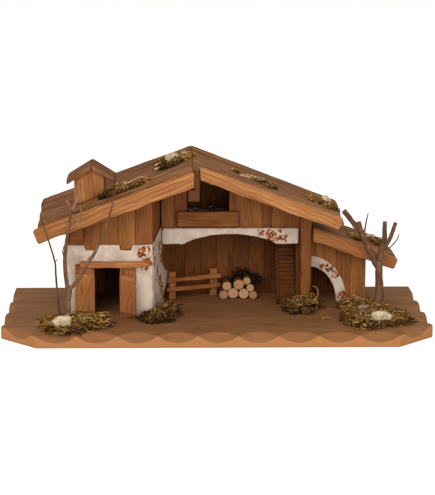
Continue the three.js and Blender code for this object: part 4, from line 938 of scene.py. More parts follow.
@dataclass
class BoardRow:
    """Upright boards side by side. The wood runs up, and each board has its own tone."""

    seams: Sequence[float]
    foot: Curve
    top: Curve
    depth: Pair
    axes: Axes = FRONT
    tone: float = 0.12
    tones: Sequence[float] = ()
    seed: int = 1
    clearance: float = 0.07  # mm from a board's side to its seam

    def slabs(self) -> list[Slab]:
        """The strip that closes the joints, and a board between each two seams."""
        rng = np.random.default_rng(self.seed)
        slabs = [self.strip()]
        for k, (start, end) in enumerate(zip(self.seams[:-1], self.seams[1:])):
            depth = (self.depth[0] + rng.uniform(0, 0.25), self.depth[1])
            tint = self.tones[k] if self.tones else rng.uniform(-self.tone, self.tone)
            ends = (start + self.clearance, end - self.clearance)
            look = {"edge": 0.8, "cells": (1.6, 7, 4), "grain_up": True, "tint": tint}
            one = profile(ends, self.foot, self.top, depth, axes=self.axes, seed=self.seed * 20 + k, **look)
            slabs.append(one)
        return slabs

    def strip(self) -> Slab:
        """The dark strip in the middle of the row, which closes the joints between the boards."""
        near, far = self.depth
        inset = 0.35 * (far - near)
        return profile(
            (self.seams[0] + 1, self.seams[-1] - 1), lambda a: self.foot(a) + 0.8,
            lambda a: self.top(a) - 0.8, (near + inset, far - inset), axes=self.axes, edge=0.2,
            cells=(3, 12, 4), grain_up=True, tint=-0.25,
        )


def seams_from(start: float, end: float, pitch: float, seed: int) -> list[float]:
    """Seams of a row of boards of about one width.

    Args:
        start: Where the row begins.
        end: Where it ends.
        pitch: The usual width of a board.
        seed: Another seed gives other widths.

    Returns:
        The seams, with both ends.
    """
    count = max(1, round((end - start) / pitch))
    seams = np.linspace(start, end, count + 1)
    seams[1:-1] += np.random.default_rng(seed).uniform(-1.6, 1.6, count - 1)
    return seams.tolist()


@dataclass
class BaseBoard:
    """The board that everything stands on. Its edge is scooped out with a wide gouge."""

    width: float = 600
    depth: float = 290
    thickness: float = 17
    corner: float = 52
    gouge_radius: float = 44.6
    gouge_depth: float = 10
    gouge_reach: float = 22
    corner_reach: float = 17
    side_reach: float = 13
    front_pitch: float = 55
    side_pitch: float = 68

    def gouges(self) -> Array:
        """Where each gouge cut starts, its outward direction in plan, and its reach."""
        w, d = self.width / 2, self.depth / 2
        inner, corner_y = w - self.corner, self.corner - d
        count = round(2 * inner / self.front_pitch)
        starts = [-inner + (k + 0.5) * 2 * inner / count for k in range(count)]
        cuts = [(x, -d, 0, -1, self.gouge_reach) for x in starts]
        half = math.sqrt(0.5)
        for side in (-1, 1):
            middle = (side * (w - self.corner / 2), corner_y - self.corner / 2)
            cuts.append((*middle, side * half, -half, self.corner_reach))
            along = np.arange(corner_y + self.side_pitch / 2, d - self.side_pitch / 4, self.side_pitch)
            cuts += [(side * w, y, side, 0, self.side_reach) for y in along]
        return np.array(cuts)

    def top(self, x: Array, y: Array) -> Array:
        """Height of the top at places in plan.

        It is flat, but no higher than any gouge: a cylinder that dips towards the edge, whose
        underside at t to the side and o outward is R - sqrt(R^2 - t^2) - o sin(dip), all over
        cos(dip), above the deepest point at the edge.
        """
        height = np.full_like(x, self.thickness)
        for gx, gy, ox, oy, reach in self.gouges():
            dip = math.atan2(self.gouge_depth, reach)
            out = (x - gx) * ox + (y - gy) * oy
            side = np.clip(np.abs(-(x - gx) * oy + (y - gy) * ox), 0, self.gouge_radius)
            rise = self.gouge_radius - np.sqrt(self.gouge_radius**2 - side**2) - out * math.sin(dip)
            cut = self.thickness - self.gouge_depth + rise / math.cos(dip)
            height = np.where(out > -3 * reach, np.minimum(height, cut), height)
        return height

    def outline(self) -> Array:
        """Points of the board's outline, a few millimetres apart."""
        w, d, c = self.width / 2, self.depth / 2, self.corner
        corners = np.array([(c - w, -d), (w - c, -d), (w, c - d), (w, d), (-w, d), (-w, c - d)])
        sides = []
        for start, end in zip(corners, np.roll(corners, -1, axis=0)):
            count = round(np.linalg.norm(end - start) / 2.6)
            sides.append(start + np.linspace(0, 1, count, endpoint=False)[:, None] * (end - start))
        return np.concatenate(sides)

    def build(self) -> None:
        """Builds the board from rings: its underside, its edge, and its top drawn in to the middle."""
        outline = self.outline()
        edge = self.top(*outline.T)
        under = ((0.02, 0), (0.5, 0), (0.997, 0), (1, 0.07), (1, 0.35), (1, 0.65), (1, 0.93))
        rings = [np.column_stack([outline * scale, edge * share]) for scale, share in under]
        for scale in (0.9975, *np.arange(0.99, 0.82, -0.0105), *np.arange(0.81, 0.02, -0.03)):
            plan = outline * scale
            rings.append(np.column_stack([plan, self.top(*plan.T)]))
        grid = np.array(rings)
        cut = smoothstep(self.thickness - grid[..., 2], 0.15, 1.2)
        ripple = 0.12 * noise(grid, (70, 4, 4), 3) - 0.5 * cut * np.abs(noise(grid, (13, 9, 9), 8))
        grid[..., 2] += np.where(grid[..., 2] > 0.5, ripple, 0)
        upright = np.zeros(cut.shape)
        upright[2 : len(under)] = 1
        # painted highlight: the lips of the gouge cuts on the top are tinted lighter, where they turn to
        # the light
        rim = smoothstep(cut, 0, 0.3) - smoothstep(cut, 0.4, 1)
        fresh = 0.1 + 0.24 * smoothstep(-grid[..., 1], self.depth / 2 - 40, self.depth / 2 - 18)
        sawn = np.maximum(upright, fresh * cut)
        data = {"grain": grid.copy(), "sawn": sawn, "tint": 0.12 * rim * (1 - upright)}
        piece("base_board_gouged", [Surface.from_rings(grid, data)], Finish.BASE, "base_board")


@dataclass
class House:
    """The plastered house: front with its doorway, boards above it, side walls and splayed wall."""

    roof: Roofline
    doorway: Pair = (-172.9, -134.7)
    doorway_top: float = 90.3
    tab_inset: float = 4.2
    tab_width: float = 13.3
    tab_drop: float = 7
    core_gap: float = 3.3  # mm from the face of the splayed wall's plaster to its boards
    wall: float = 8
    front_bare: tuple[Triple, ...] = ((-102.5, 111, 9.5), (-97.7, 97, 8), (-102, 88, 5.5))
    block_cut: float = 5  # mm of the eave block's box that the sloping roof takes
    splay_bare: tuple[Triple, ...] = (
        (-32, 112, 8), (-22, 93, 9), (0, 76, 9), (15, 107, 12), (16, 58, 12), (30, 45, 11), (-14, 40, 6),
        (37, 30, 8), (28, 88, 11),
    )
    broken_edge: tuple[Pair, ...] = (
        (45.6, 17.3), (41.7, 30.2), (61.2, 39.5), (90.8, 46.8), (84.6, 56.1), (57.3, 63.5), (39.4, 74.5),
        (31.6, 89.3), (29.7, 109.3), (29.7, 133),
    )

    def build(self) -> None:
        """Builds the front, the boards, the walls and the eave block."""
        self.front_plaster()
        self.front_boards()
        self.left_wall()
        self.splayed_wall()
        box = span("eave_block")
        up = (box.z[0], box.z[1] - self.block_cut)
        block = board(box.x, up, box.y, edge=1.5, relief=WEATHERED, seed=12)
        piece("eave_block_hewn", [block], Finish.DARK, "eave_block")

    def front_plaster(self) -> None:
        """The coat, drawn over X: over the doorway its lower edge is the doorway's top."""
        box = span("house_front_plaster")
        left, right = self.doorway

        def foot(x: Array) -> Array:
            """Lower edge: the ground beside the doorway, and the doorway's top over it."""
            return np.where((x > left) & (x < right), self.doorway_top, box.z[0])

        def top(x: Array) -> Array:
            """Upper edge, lower under the two tongues and rounded at its left corner."""
            edge = box.z[1] - 3 * np.clip(1 - (x - box.x[0]) / 5, 0, 1) ** 2
            for name in ("house_plank_2", "house_plank_4"):
                start = span(name).x[0] + self.tab_inset
                away = np.abs(x - start - self.tab_width / 2) - self.tab_width / 2
                edge = edge - (self.tab_drop + 0.7) * (1 - smoothstep(away, 0.5, 3.2))
            return edge

        width = box.x[1] - box.x[0]
        jumps = [(side + shift - box.x[0]) / width for side in (left, right) for shift in (-0.02, 0.02)]
        look = {"edge": 2.2, "cells": (1.2, 1.8, 2.5), "relief": PLASTERED, "patches": self.front_bare}
        coat = profile(box.x, foot, top, box.y, corners=tuple(jumps), seed=2, **look)
        piece("house_front_coat", [coat], Finish.PLASTER, "house_front_plaster")

    def front_boards(self) -> None:
        """Five boards under the roof. The second and the fourth end in a tongue that hangs lower."""
        for k, tint in enumerate((-0.05, 0.12, 0.0, 0.1, -0.1)):
            name = f"house_plank_{k + 1}"
            box = span(name)
            (x0, x1), foot = box.x, box.z[0]
            left, right = ([(x, foot), (x, self.roof.below_main(x))] for x in box.x)
            shares = [0, 1]
            if k % 2:
                tip, shoulder = x0 + self.tab_inset, foot + self.tab_drop
                shares = [0, 0.05, 0.12, 1]
                left = [(tip, foot), (tip - 0.8, foot + 4), (x0, shoulder), left[1]]
                tip += self.tab_width
                right = [(tip, foot), (tip + 1.5, foot + 4), (x1, shoulder), right[1]]
            edges = timed_path(shares, left), timed_path(shares, right)
            one = Slab(*edges, box.y, edge=1, cells=(2, 1.6, 4), relief=SAWN_BOARD, tint=tint, seed=30 + k)
            piece(f"{name}_board", [one], Finish.WALL, name)

    def left_wall(self) -> None:
        """Boards of the wall on the left."""
        box = span("house_left_wall")
        top = level(self.roof.below_main(box.x[0]))
        row = BoardRow(seams_from(*box.y, 24.5, 4), level(box.z[0]), top, box.x, SIDE, seed=4)
        piece("house_left_boards", row.slabs(), Finish.WALL, "house_left_wall")

    def splayed_wall(self) -> None:
        """The wall that slants back to the stall: a coat of plaster on boards."""
        sine = SPLAY_SLOPE / math.hypot(1, SPLAY_SLOPE)
        cosine = 1 / math.hypot(1, SPLAY_SLOPE)
        corner, box = span("house_front_plaster"), span("splay_wall")
        x0 = corner.x[1] - SPLAY_SLOPE * corner.y[0]
        axes = Axes((sine, cosine, 0), (0, 0, 1), (-cosine, sine, 0), (x0, 0, 0))
        reach = (box.y[0] / cosine, box.y[1] / cosine)

        def top(a: Array) -> Array:
            """Underside of the roof over the wall."""
            return self.roof.below_main(x0 + sine * np.asarray(a) - self.core_gap - self.wall)

        depth = (self.core_gap, self.core_gap + self.wall)
        row = BoardRow(seams_from(*reach, 24.5, 6), level(box.z[0]), top, depth, axes, seed=6)
        piece("splay_boards", row.slabs(), Finish.WALL, "splay_wall")
        heights = np.array([z for _, z in self.broken_edge])
        shares = (heights - heights[0]) / (heights[-1] - heights[0])
        rear = timed_path(shares, [(y / cosine, z) for y, z in self.broken_edge])
        front = straight((reach[0], heights[0]), (reach[0], corner.z[1]))
        coat = Slab(
            front, rear, (0, 3), axes, 1.4, (1.8, 1.8, 1.5), PLASTERED, corners=tuple(shares[1:-1]),
            patches=self.splay_bare, seed=7,
        )
        piece("splay_coat", [coat], Finish.PLASTER, "splay_plaster")


@dataclass
class Doorway:
    """Jambs, the pointed lintel and two ledged leaves that turn on pins."""

    leaf_width: float = 26
    leaf_thickness: float = 3
    brace_thickness: float = 1.5
    brace_width: float = 7
    brace_inset: float = 1.5
    ledge_height: float = 6
    leaf_foot: float = 26
    leaf_top: float = 81
    pin_radius: float = 0.8
    past_pin: float = 1.3  # mm that a leaf reaches past its pin
    left_hinge: Pair = (-172.9, -43.1)
    right_hinge: Pair = (-134.7, -47.9)
    right_turn: float = -36.0

    def build(self) -> None:
        """Builds the jambs, the lintel and the leaves."""
        for name, seed in (("door_jamb_left", 41), ("door_jamb_right", 42)):
            box = span(name)
            jamb = board(box.x, box.z, box.y, upright=True, edge=0.8, cells=(2, 1.8, 4), seed=seed)
            piece(f"{name}_board", [jamb], Finish.DOOR, name)
        self.lintel()
        self.leaf("door_leaf_left", self.left_hinge, 0.0, -1, False)
        self.leaf("door_leaf_right", self.right_hinge, self.right_turn, 1, True)

    def lintel(self) -> None:
        """A bar over the doorway, cut to a point at its right end."""
        box = span("door_lintel")
        (start, end), (low, high) = (box.x[0], box.x[1] - 0.4), box.z
        tip = low + 0.55 * (high - low)

        def lower(x: Array) -> Array:
            """Underside, which rises to the point."""
            return np.interp(x, [start, end - 17, end], [low, low, tip - 0.5])

        def upper(x: Array) -> Array:
            """Top, which falls to the point."""
            return np.interp(x, [start, end - 8.5, end], [high, high, tip + 0.5])

        look = {"edge": 0.9, "cells": (1.8, 1.6, 2), "relief": HEWN, "tint": 0.06}
        bar = profile((start, end), lower, upper, box.y, seed=43, **look)
        piece("door_lintel_bar", [bar], Finish.DOOR, "door_lintel")

    def leaf(self, name: str, hinge: Pair, turn: float, side: int, ledge: bool) -> None:
        """A leaf in its own frame, with its pin on the origin, set at its hinge.

        Args:
            name: The CAD node.
            hinge: Where the pin stands.
            turn: Degrees about the pin.
            side: 1 where the leaf runs to the right of its pin, or -1.
            ledge: Whether a ledge crosses its top.
        """
        axes = turned(turn, (*hinge, 0))
        half = self.leaf_thickness / 2
        edges = np.linspace(0, side * self.leaf_width, 4)
        edges[0] = -side * self.past_pin
        shapes = []
        for k, pair in enumerate(zip(edges[:-1], edges[1:])):
            across = (min(pair) + 0.05, max(pair) - 0.05)
            tint = 0.06 * (k % 2) - (0.1 if ledge else -0.08)
            look = {"edge": 0.5, "cells": (2, 1.5, 1.5), "tint": tint, "seed": 50 + k + 5 * ledge}
            shapes.append(board(across, (self.leaf_foot, self.leaf_top), (-half, half), axes, True, **look))
        left, right = sorted((0.0, side * self.leaf_width))
        low = self.leaf_foot + self.brace_inset
        top = self.leaf_top - self.brace_inset - (self.ledge_height if ledge else 0)
        x0, x1 = left + self.brace_inset, right - self.brace_inset
        depth = (-half - self.brace_thickness, -half + 0.4)
        look = {"edge": 0.4, "cells": (1.8, 1.5, 1)}
        lower = straight((x0, low), (x1 - self.brace_width, top))
        upper = straight((x0 + self.brace_width, low), (x1, top))
        shapes.append(Slab(lower, upper, depth, axes, tint=0.06 if ledge else 0.22, seed=61, **look))
        if ledge:
            across, up = (x0, right - self.brace_inset / 2), (top, top + self.ledge_height)
            shapes.append(board(across, up, depth, axes, tint=0.12, seed=62, **look))
        foot, head = span(name).z
        pin = [(*hinge, foot), (*hinge, (foot + head) / 2), (*hinge, head)]
        shapes.append(Limb(pin, self.pin_radius, self.pin_radius, bark=0, step=6))
        piece(f"{name}_boards", shapes, Finish.DOOR, name, "left_door" if side < 0 else "right_door")


@dataclass
class Stall:
    """The open stall: back wall, arched beam, post, stair, fence and firewood."""

    roof: Roofline
    lean_to_x: float = 126  # where the lean-to begins
    beam_bottom: float = 109.3
    arch: Pair = (-45.4, 88)
    arch_rise: float = 14.6
    beam_bare: tuple[Triple, ...] = (
        (67.6, 127, 6), (80, 122, 9), (86, 115, 5), (98, 118, 6), (93.6, 128.5, 4),
    )
    post_widths: Pair = (15.2, 18.4)
    steps: int = 19
    tread: float = 9  # mm deep, with the part under the next step
    fence_origin: Triple = (-62.5, 67, 17)
    fence_turn: float = 21.0
    fence_posts: Pair = (0.0, 66.0)
    fence_post: Triple = (5.25, 42, 3.5)  # half width, height and half depth
    fence_rails: Pair = (13.5, 27.5)
    rail_span: Pair = (-10.5, 75.5)
    rail_height: float = 6.2
    rail_depth: Pair = (-7.8, -3.8)
    lower_logs: tuple[float, ...] = (6.8, 8.0, 7.9, 6.4)
    upper_logs: tuple[float, ...] = (6.9, 7.9, 5.6)
    top_log: float = 5.8
    log_tones: tuple[float, ...] = (-0.22, 0.04, 0.1, -0.25, 0.0, -0.08, 0.06, -0.05)
    pile: Pair = (14.0, 65)
    log_length: float = 36
    log_bite: float = 0.4  # mm that a log sinks into its neighbour

    def build(self) -> None:
        """Builds every piece of the stall."""
        self.back_wall()
        self.right_wall()
        self.beam()
        self.post()
        self.stair()
        self.fence()
        self.firewood()

    def back_wall(self) -> None:
        """Boards behind the house, the stall and the lean-to, up to the roof over each."""
        box = span("back_wall")
        split = self.lean_to_x

        def top(x: Array) -> Array:
            """Underside of the roof over the wall."""
            return np.where(x < split, self.roof.below_main(x), self.roof.below_lean(x))

        seams = seams_from(box.x[0], split, 24.5, 8) + seams_from(split, box.x[1], 24.5, 9)[1:]
        row = BoardRow(seams, level(box.z[0]), top, box.y, seed=8, tone=0.16)
        piece("back_boards", row.slabs(), Finish.DARK, "back_wall")

    def right_wall(self) -> None:
        """Boards between the stall and the lean-to."""
        box = span("stable_right_wall")
        top = level(self.roof.below_main(box.x[1]))
        row = BoardRow(seams_from(*box.y, 23, 3), level(box.z[0]), top, box.x, SIDE, seed=10)
        piece("stall_right_boards", row.slabs(), Finish.DARK, "stable_right_wall")

    def beam(self) -> None:
        """The plastered beam. Its arch is 1 - 0.86 s^2 - 0.14 s^8 of the rise, with s across it."""
        box = span("arched_beam")
        middle, half = sum(self.arch) / 2, (self.arch[1] - self.arch[0]) / 2

        def lower(x: Array) -> Array:
            """Underside of the beam."""
            s = np.clip(np.abs(x - middle) / half, 0, 1)
            return self.beam_bottom + self.arch_rise * (1 - 0.86 * s**2 - 0.14 * s**8)

        def upper(x: Array) -> Array:
            """Top of the beam, rounded off at its left end."""
            return box.z[1] - 4 * np.clip(1 - (x - box.x[0]) / 3, 0, 1) ** 2

        look = {"edge": 2, "cells": (1.7, 1.6, 2), "relief": PLASTERED, "patches": self.beam_bare}
        coat = profile(box.x, lower, upper, box.y, seed=11, **look)
        piece("arched_beam_coat", [coat], Finish.PLASTER, "arched_beam")

    def post(self) -> None:
        """The hewn post, wider at its top."""
        box = span("corner_post")
        middle, y = sum(box.x) / 2, sum(box.y) / 2
        depth = 0.9 * sum(self.post_widths) / 2
        narrow, wide = self.post_widths
        low, high = box.z

        def side(sign: int) -> Curve:
            """One edge of the post, slightly wavy."""

            def curve(t: Array) -> Array:
                """Points of the edge."""
                width = narrow + t * (wide - narrow)
                wave = 1 - 0.03 * (1 + np.sin(9 * t + 1 + sign))
                return np.stack([middle + sign * width / 2 * wave, low + t * (high - low)], -1)

            return curve

        look = {"edge": 4.5, "cells": FINE_CELLS, "relief": HEWN_POST}
        post = Slab(side(-1), side(1), (y - depth / 2, y + depth / 2), seed=13, **look)
        piece("corner_post_hewn", [post], Finish.POST, "corner_post")

    def stair(self) -> None:
        """Closed steps on a sloping body, with a stringer on the open side.

        The bare numbers in the outlines are millimetres in from the sides of the solids' boxes.
        """
        box = span("stair_steps")
        (y0, y1), (z0, z1) = box.y, box.z
        rng = np.random.default_rng(14)
        shapes = []
        riser, going = (z1 - z0) / self.steps, (y1 - y0) / self.steps
        for k in range(self.steps):
            y, z = y0 + k * going, z0 + k * riser
            look = {"edge": 0.6, "cells": (2, 2, 2), "tint": rng.uniform(-0.1, 0.1), "seed": 70 + k}
            shapes.append(board(box.x, (z, z + riser), (y, min(y + self.tread, y1)), **look))
        lower = straight((y0 + 12, z0), (y1, z1 - 12))
        upper = straight((y0 + 4, z0 + 2), (y1 - 1, z1 - 4))
        inside = (box.x[0] + 0.4, box.x[1] - 0.4)
        shapes.append(Slab(lower, upper, inside, SIDE, seed=15))
        piece("stair_steps_boards", shapes, Finish.STEP, "stair_steps")
        box = span("stair_stringer")
        (y0, y1), (z0, z1) = box.y, box.z
        shares = (0, 0.12, 1)
        lower = timed_path(shares, [(y0 + 1, z0), (y0 + 15, z0), (y1, z1 - 13)])
        upper = timed_path(shares, [(y0, z0 + 7.5), (y0 + 1.5, z0 + 10.5), (y1 - 1.5, z1)])
        stringer = Slab(lower, upper, box.x, SIDE, cells=(2, 3, 4), corners=(0.12,), seed=16)
        piece("stair_stringer_board", [stringer], Finish.STEP, "stair_stringer")

    def fence(self) -> None:
        """Two posts and two rails, turned across the stall."""
        axes = turned(self.fence_turn, self.fence_origin)
        half, height, deep = self.fence_post
        for k, (side, x) in enumerate(zip(("left", "right"), self.fence_posts)):
            look = {"edge": 1.1, "cells": (2, 1.6, 4), "relief": WEATHERED, "seed": 80 + k}
            post = board((x - half, x + half), (GAP, height), (-deep, deep), axes, True, **look)
            piece(f"fence_post_{side}_board", [post], Finish.DOOR, f"fence_post_{side}")
        for k, (row, z) in enumerate(zip(("low", "high"), self.fence_rails)):
            look = {"edge": 0.9, "cells": (2, 1.5, 4), "relief": WEATHERED, "tint": -0.05, "seed": 84 + k}
            rail = board(self.rail_span, (z, z + self.rail_height), self.rail_depth, axes, **look)
            piece(f"fence_rail_{row}_board", [rail], Finish.DOOR, f"fence_rail_{row}")

    def resting_on(self, a: Triple, b: Triple, radius: float) -> Triple:
        """Where a log comes to rest on two others.

        It lies where the circles of its distance from both cross, above the line between them.

        Args:
            a: X, Z and radius of one log.
            b: X, Z and radius of the other.
            radius: Its own radius.

        Returns:
            Its X, Z and radius.
        """
        from_a, from_b = a[2] + radius - self.log_bite, b[2] + radius - self.log_bite
        apart = math.hypot(b[0] - a[0], b[1] - a[1])
        along = (from_a**2 - from_b**2 + apart**2) / (2 * apart)
        across = math.sqrt(max(from_a**2 - along**2, 0))
        ux, uz = (b[0] - a[0]) / apart, (b[1] - a[1]) / apart
        return a[0] + along * ux - across * uz, a[1] + along * uz + across * ux, radius

    def log_places(self) -> list[Triple]:
        """X, Z and radius of each log: a row on the floor, one in its hollows, and one on top."""
        floor = span("firewood_pile").z[0]
        lower = []
        x = self.pile[0]
        for k, radius in enumerate(self.lower_logs):
            if k:
                reach = self.lower_logs[k - 1] + radius - self.log_bite
                x += math.sqrt(reach**2 - (radius - self.lower_logs[k - 1]) ** 2)
            lower.append((x, floor + radius, radius))
        upper = [self.resting_on(lower[k], lower[k + 1], r) for k, r in enumerate(self.upper_logs)]
        return [*lower, *upper, self.resting_on(upper[1], upper[2], self.top_log)]

    def firewood(self) -> None:
        """The pile of round logs, with their sawn ends to the front."""
        logs = []
        for k, (x, z, radius) in enumerate(self.log_places()):
            front = self.pile[1] + 1.5 * ((k * 2) % 3)
            back = front + self.log_length
            points = [(x, back, z), (x, (back + front) / 2, z), (x, front, z)]
            look = {"sides": 22, "bark": 0.045, "tint": self.log_tones[k], "seed": 90 + k}
            logs.append(Limb(points, radius, radius, reference=(0.0, 0.0, 1.0), **look))
        piece("firewood_logs", logs, Finish.LOG, "firewood_pile")


@dataclass
class Loft:
    """The gable with its window, the board under it, and the floor behind."""

    roof: Roofline
    window_heights: Pair = (155, 200)
    seams_left: tuple[float, ...] = (-77.8, -58.5, -40.9)
    seams_window: tuple[float, ...] = (-40.9, -19, 2, 20.4)
    seams_right: tuple[float, ...] = (20.4, 29, 67.7, 82.2, 126)
    tones_right: tuple[float, ...] = (-0.05, 0.02, -0.16, 0.06)
    floor_slant: float = 0.185  # how far the floor's left end goes right for each mm back

    def build(self) -> None:
        """Builds the gable boards, the sill board and the floor."""
        box = span("gable_wall")
        sill, head = (level(z) for z in self.window_heights)
        foot, top = level(box.z[0]), self.roof.below_main
        rows = (
            BoardRow(self.seams_left, foot, top, box.y, seed=21),
            BoardRow(self.seams_window, foot, sill, box.y, seed=22),
            BoardRow(self.seams_window, head, top, box.y, seed=23),
            BoardRow(self.seams_right, foot, top, box.y, tones=self.tones_right, seed=24),
        )
        piece("gable_boards", [slab for row in rows for slab in row.slabs()], Finish.GABLE, "gable_wall")
        box = span("loft_sill_board")
        sill_board = board(box.x, box.z, box.y, edge=1.2, cells=(2, 1.6, 4), relief=HEWN_SILL, seed=25)
        piece("loft_sill_plank", [sill_board], Finish.WALL, "loft_sill_board")
        box = span("loft_floor")
        seams = seams_from(*box.y, 23, 26)
        floor = []
        for k, (y0, y1) in enumerate(zip(seams[:-1], seams[1:])):
            left = box.x[0] + self.floor_slant * (y0 - box.y[0])
            floor.append(board((left, box.x[1]), (y0 + 0.1, y1 - 0.1), box.z, PLAN, seed=27 + k))
        piece("loft_floor_boards", floor, Finish.DARK, "loft_floor")


@dataclass
class Roof:
    """The main roof: three weathered boards on each slope, hewn fascias and the ridge beam."""

    line: Roofline
    left_height: float = 21.4
    left_rise: float = -4.2
    right_height: float = 18.6
    right_rise: float = 6.2
    right_hump: float = 0.8
    hump_x: float = 8
    rear_rise: float = 1.5
    rear_sag: float = 5  # how far the right rear board has sunk at its eave
    rear_overhang: float = 5
    strip_width: float = 6.6
    purlin: float = 15.4
    nose: float = 8.7

    def build(self) -> None:
        """Builds the boards, the fascias and the ridge beam."""
        tones = {"front": 0.0, "middle": -0.06, "rear": -0.16}
        for side in ("left", "right"):
            for k, (row, tone) in enumerate(tones.items()):
                left = side == "left"
                self.board(f"roof_{side}_{row}", left, row == "rear", tone, 100 + k + 5 * left)
        self.fascia("fascia_left", level(self.left_rise), self.left_height, 0.4, 110)

        def right_rise(x: Array) -> Array:
            """The right fascia stands above the boards, most of all over the window."""
            return self.right_rise + self.right_hump * np.exp(-(((x - self.hump_x) / 16) ** 2))

        self.fascia("fascia_right", right_rise, self.right_height, 2.1, 111)
        self.ridge_beam()

    def board(self, name: str, left: bool, raised: bool, tone: float, seed: int) -> None:
        """One board down a slope.

        Args:
            name: The CAD node.
            left: Whether it lies on the left slope.
            raised: Whether it is a rear board, which is a little thicker.
            tone: How light it is.
            seed: Another seed gives another grain.
        """
        box = span(name)
        sunk = raised and not left
        eave = box.x[0] if left else box.x[1] + self.rear_overhang * sunk
        lift = self.rear_rise / math.cos(ROOF_PITCH) if raised else 0.0
        sag = self.rear_sag * sunk
        ridge = self.line.ridge_x + (-GAP / 2 if left else GAP / 2)

        def top(x: Array) -> Array:
            """Top of the board: higher where it is thicker, lower where it has sunk."""
            return self.line.main_top(x) + lift - sag * (x - ridge) / (eave - ridge)

        look = {"edge": 1.2, "cells": (3.5, 3, 1.3), "relief": WEATHERED, "tint": tone, "seed": seed}
        one = profile((ridge, eave), self.line.main_under, top, box.y, **look)
        piece(f"{name}_board", [one], Finish.ROOF, name)

    def fascia(self, name: str, rise: Curve, height: float, phase: float, seed: int) -> None:
        """A hewn bar along a slope, wavy below and rounded at its lower end.

        Args:
            name: The CAD node.
            rise: How far it stands above the boards, over X.
            height: Its height, square to the slope.
            phase: Shifts the wave.
            seed: Another seed gives another grain.
        """
        ends = span(name).x
        if ends[0] < self.line.ridge_x:
            ends = (span("ridge_beam").x[1] - self.strip_width - GAP, ends[0])
        hewn_bar(name, lambda x: self.line.main_top(x) + rise(x), ends, height, phase, seed)

    def ridge_beam(self) -> None:
        """A square purlin with a narrow strip on it, whose nose fills the gap between the fascias."""
        box = span("ridge_beam")
        (y0, y1), (z0, z1) = box.y, box.z
        shelf = z0 + self.purlin
        strip = (box.x[1] - self.strip_width, box.x[1])
        under = self.line.below_main(box.x[1])
        look = {"axes": SIDE, "edge": 1.0, "cells": (3.5, 3, 4), "relief": WEATHERED}
        shapes = [
            board(box.y, (z0, shelf), box.x, seed=120, **look),
            board((y0 + 1, y1), (shelf - 1, under), strip, seed=121, **look),
            board((y0, y0 + self.nose), (shelf - 1, z1 - 1), strip, seed=122, **look),
        ]
        piece("ridge_beam_purlin", shapes, Finish.GABLE, "ridge_beam")


def hewn_bar(
    name: str, top_at: Curve, ends: Pair, height: float, phase: float, seed: int,
    finish: Finish = Finish.HEWN,
) -> None:
    """A bar hewn with an axe, along a slope in the front view.

    The lower edge waves slowly, and both edges draw in towards the lower end on a quarter
    of an ellipse.

    Args:
        name: The CAD node.
        top_at: Height of its upper edge over X.
        ends: X of its upper and lower end.
        height: Its height, square to the slope.
        phase: Shifts the wave.
        seed: Another seed gives another grain.
        finish: Its finish.
    """
    start, end = ends
    drop = height / math.cos(ROOF_PITCH)

    def wave(x: Array, shift: float) -> Array:
        """The slow wave of a hewn edge."""
        return 0.5 * np.sin(x / 13 + shift) + 0.35 * np.sin(x / 5.3 + 2 * shift)

    def rounding(x: Array) -> Array:
        """How far an edge draws in near the lower end."""
        share = np.clip(1 - np.abs(x - end) / 4, 0, 1)
        return 1.8 * (1 - np.sqrt(1 - 0.96 * share**2))

    def upper(t: Array) -> Array:
        """Points of the upper edge."""
        x = start + (end - start) * t
        return np.stack([x, top_at(x) + wave(x, phase + 1) / 2 - rounding(x)], -1)

    def lower(t: Array) -> Array:
        """Points of the lower edge, which ends a little short, square to the slope."""
        x = start + (end - start) * t
        shift = math.copysign(height * math.sin(ROOF_PITCH), end - start) * t
        return np.stack([x - shift, top_at(x - shift) - drop + wave(x, phase) + rounding(x)], -1)

    bar = Slab(lower, upper, span(name).y, edge=2.6, cells=FINE_CELLS, relief=HEWN, seed=seed)
    piece(f"{name}_hewn", [bar], finish, name)


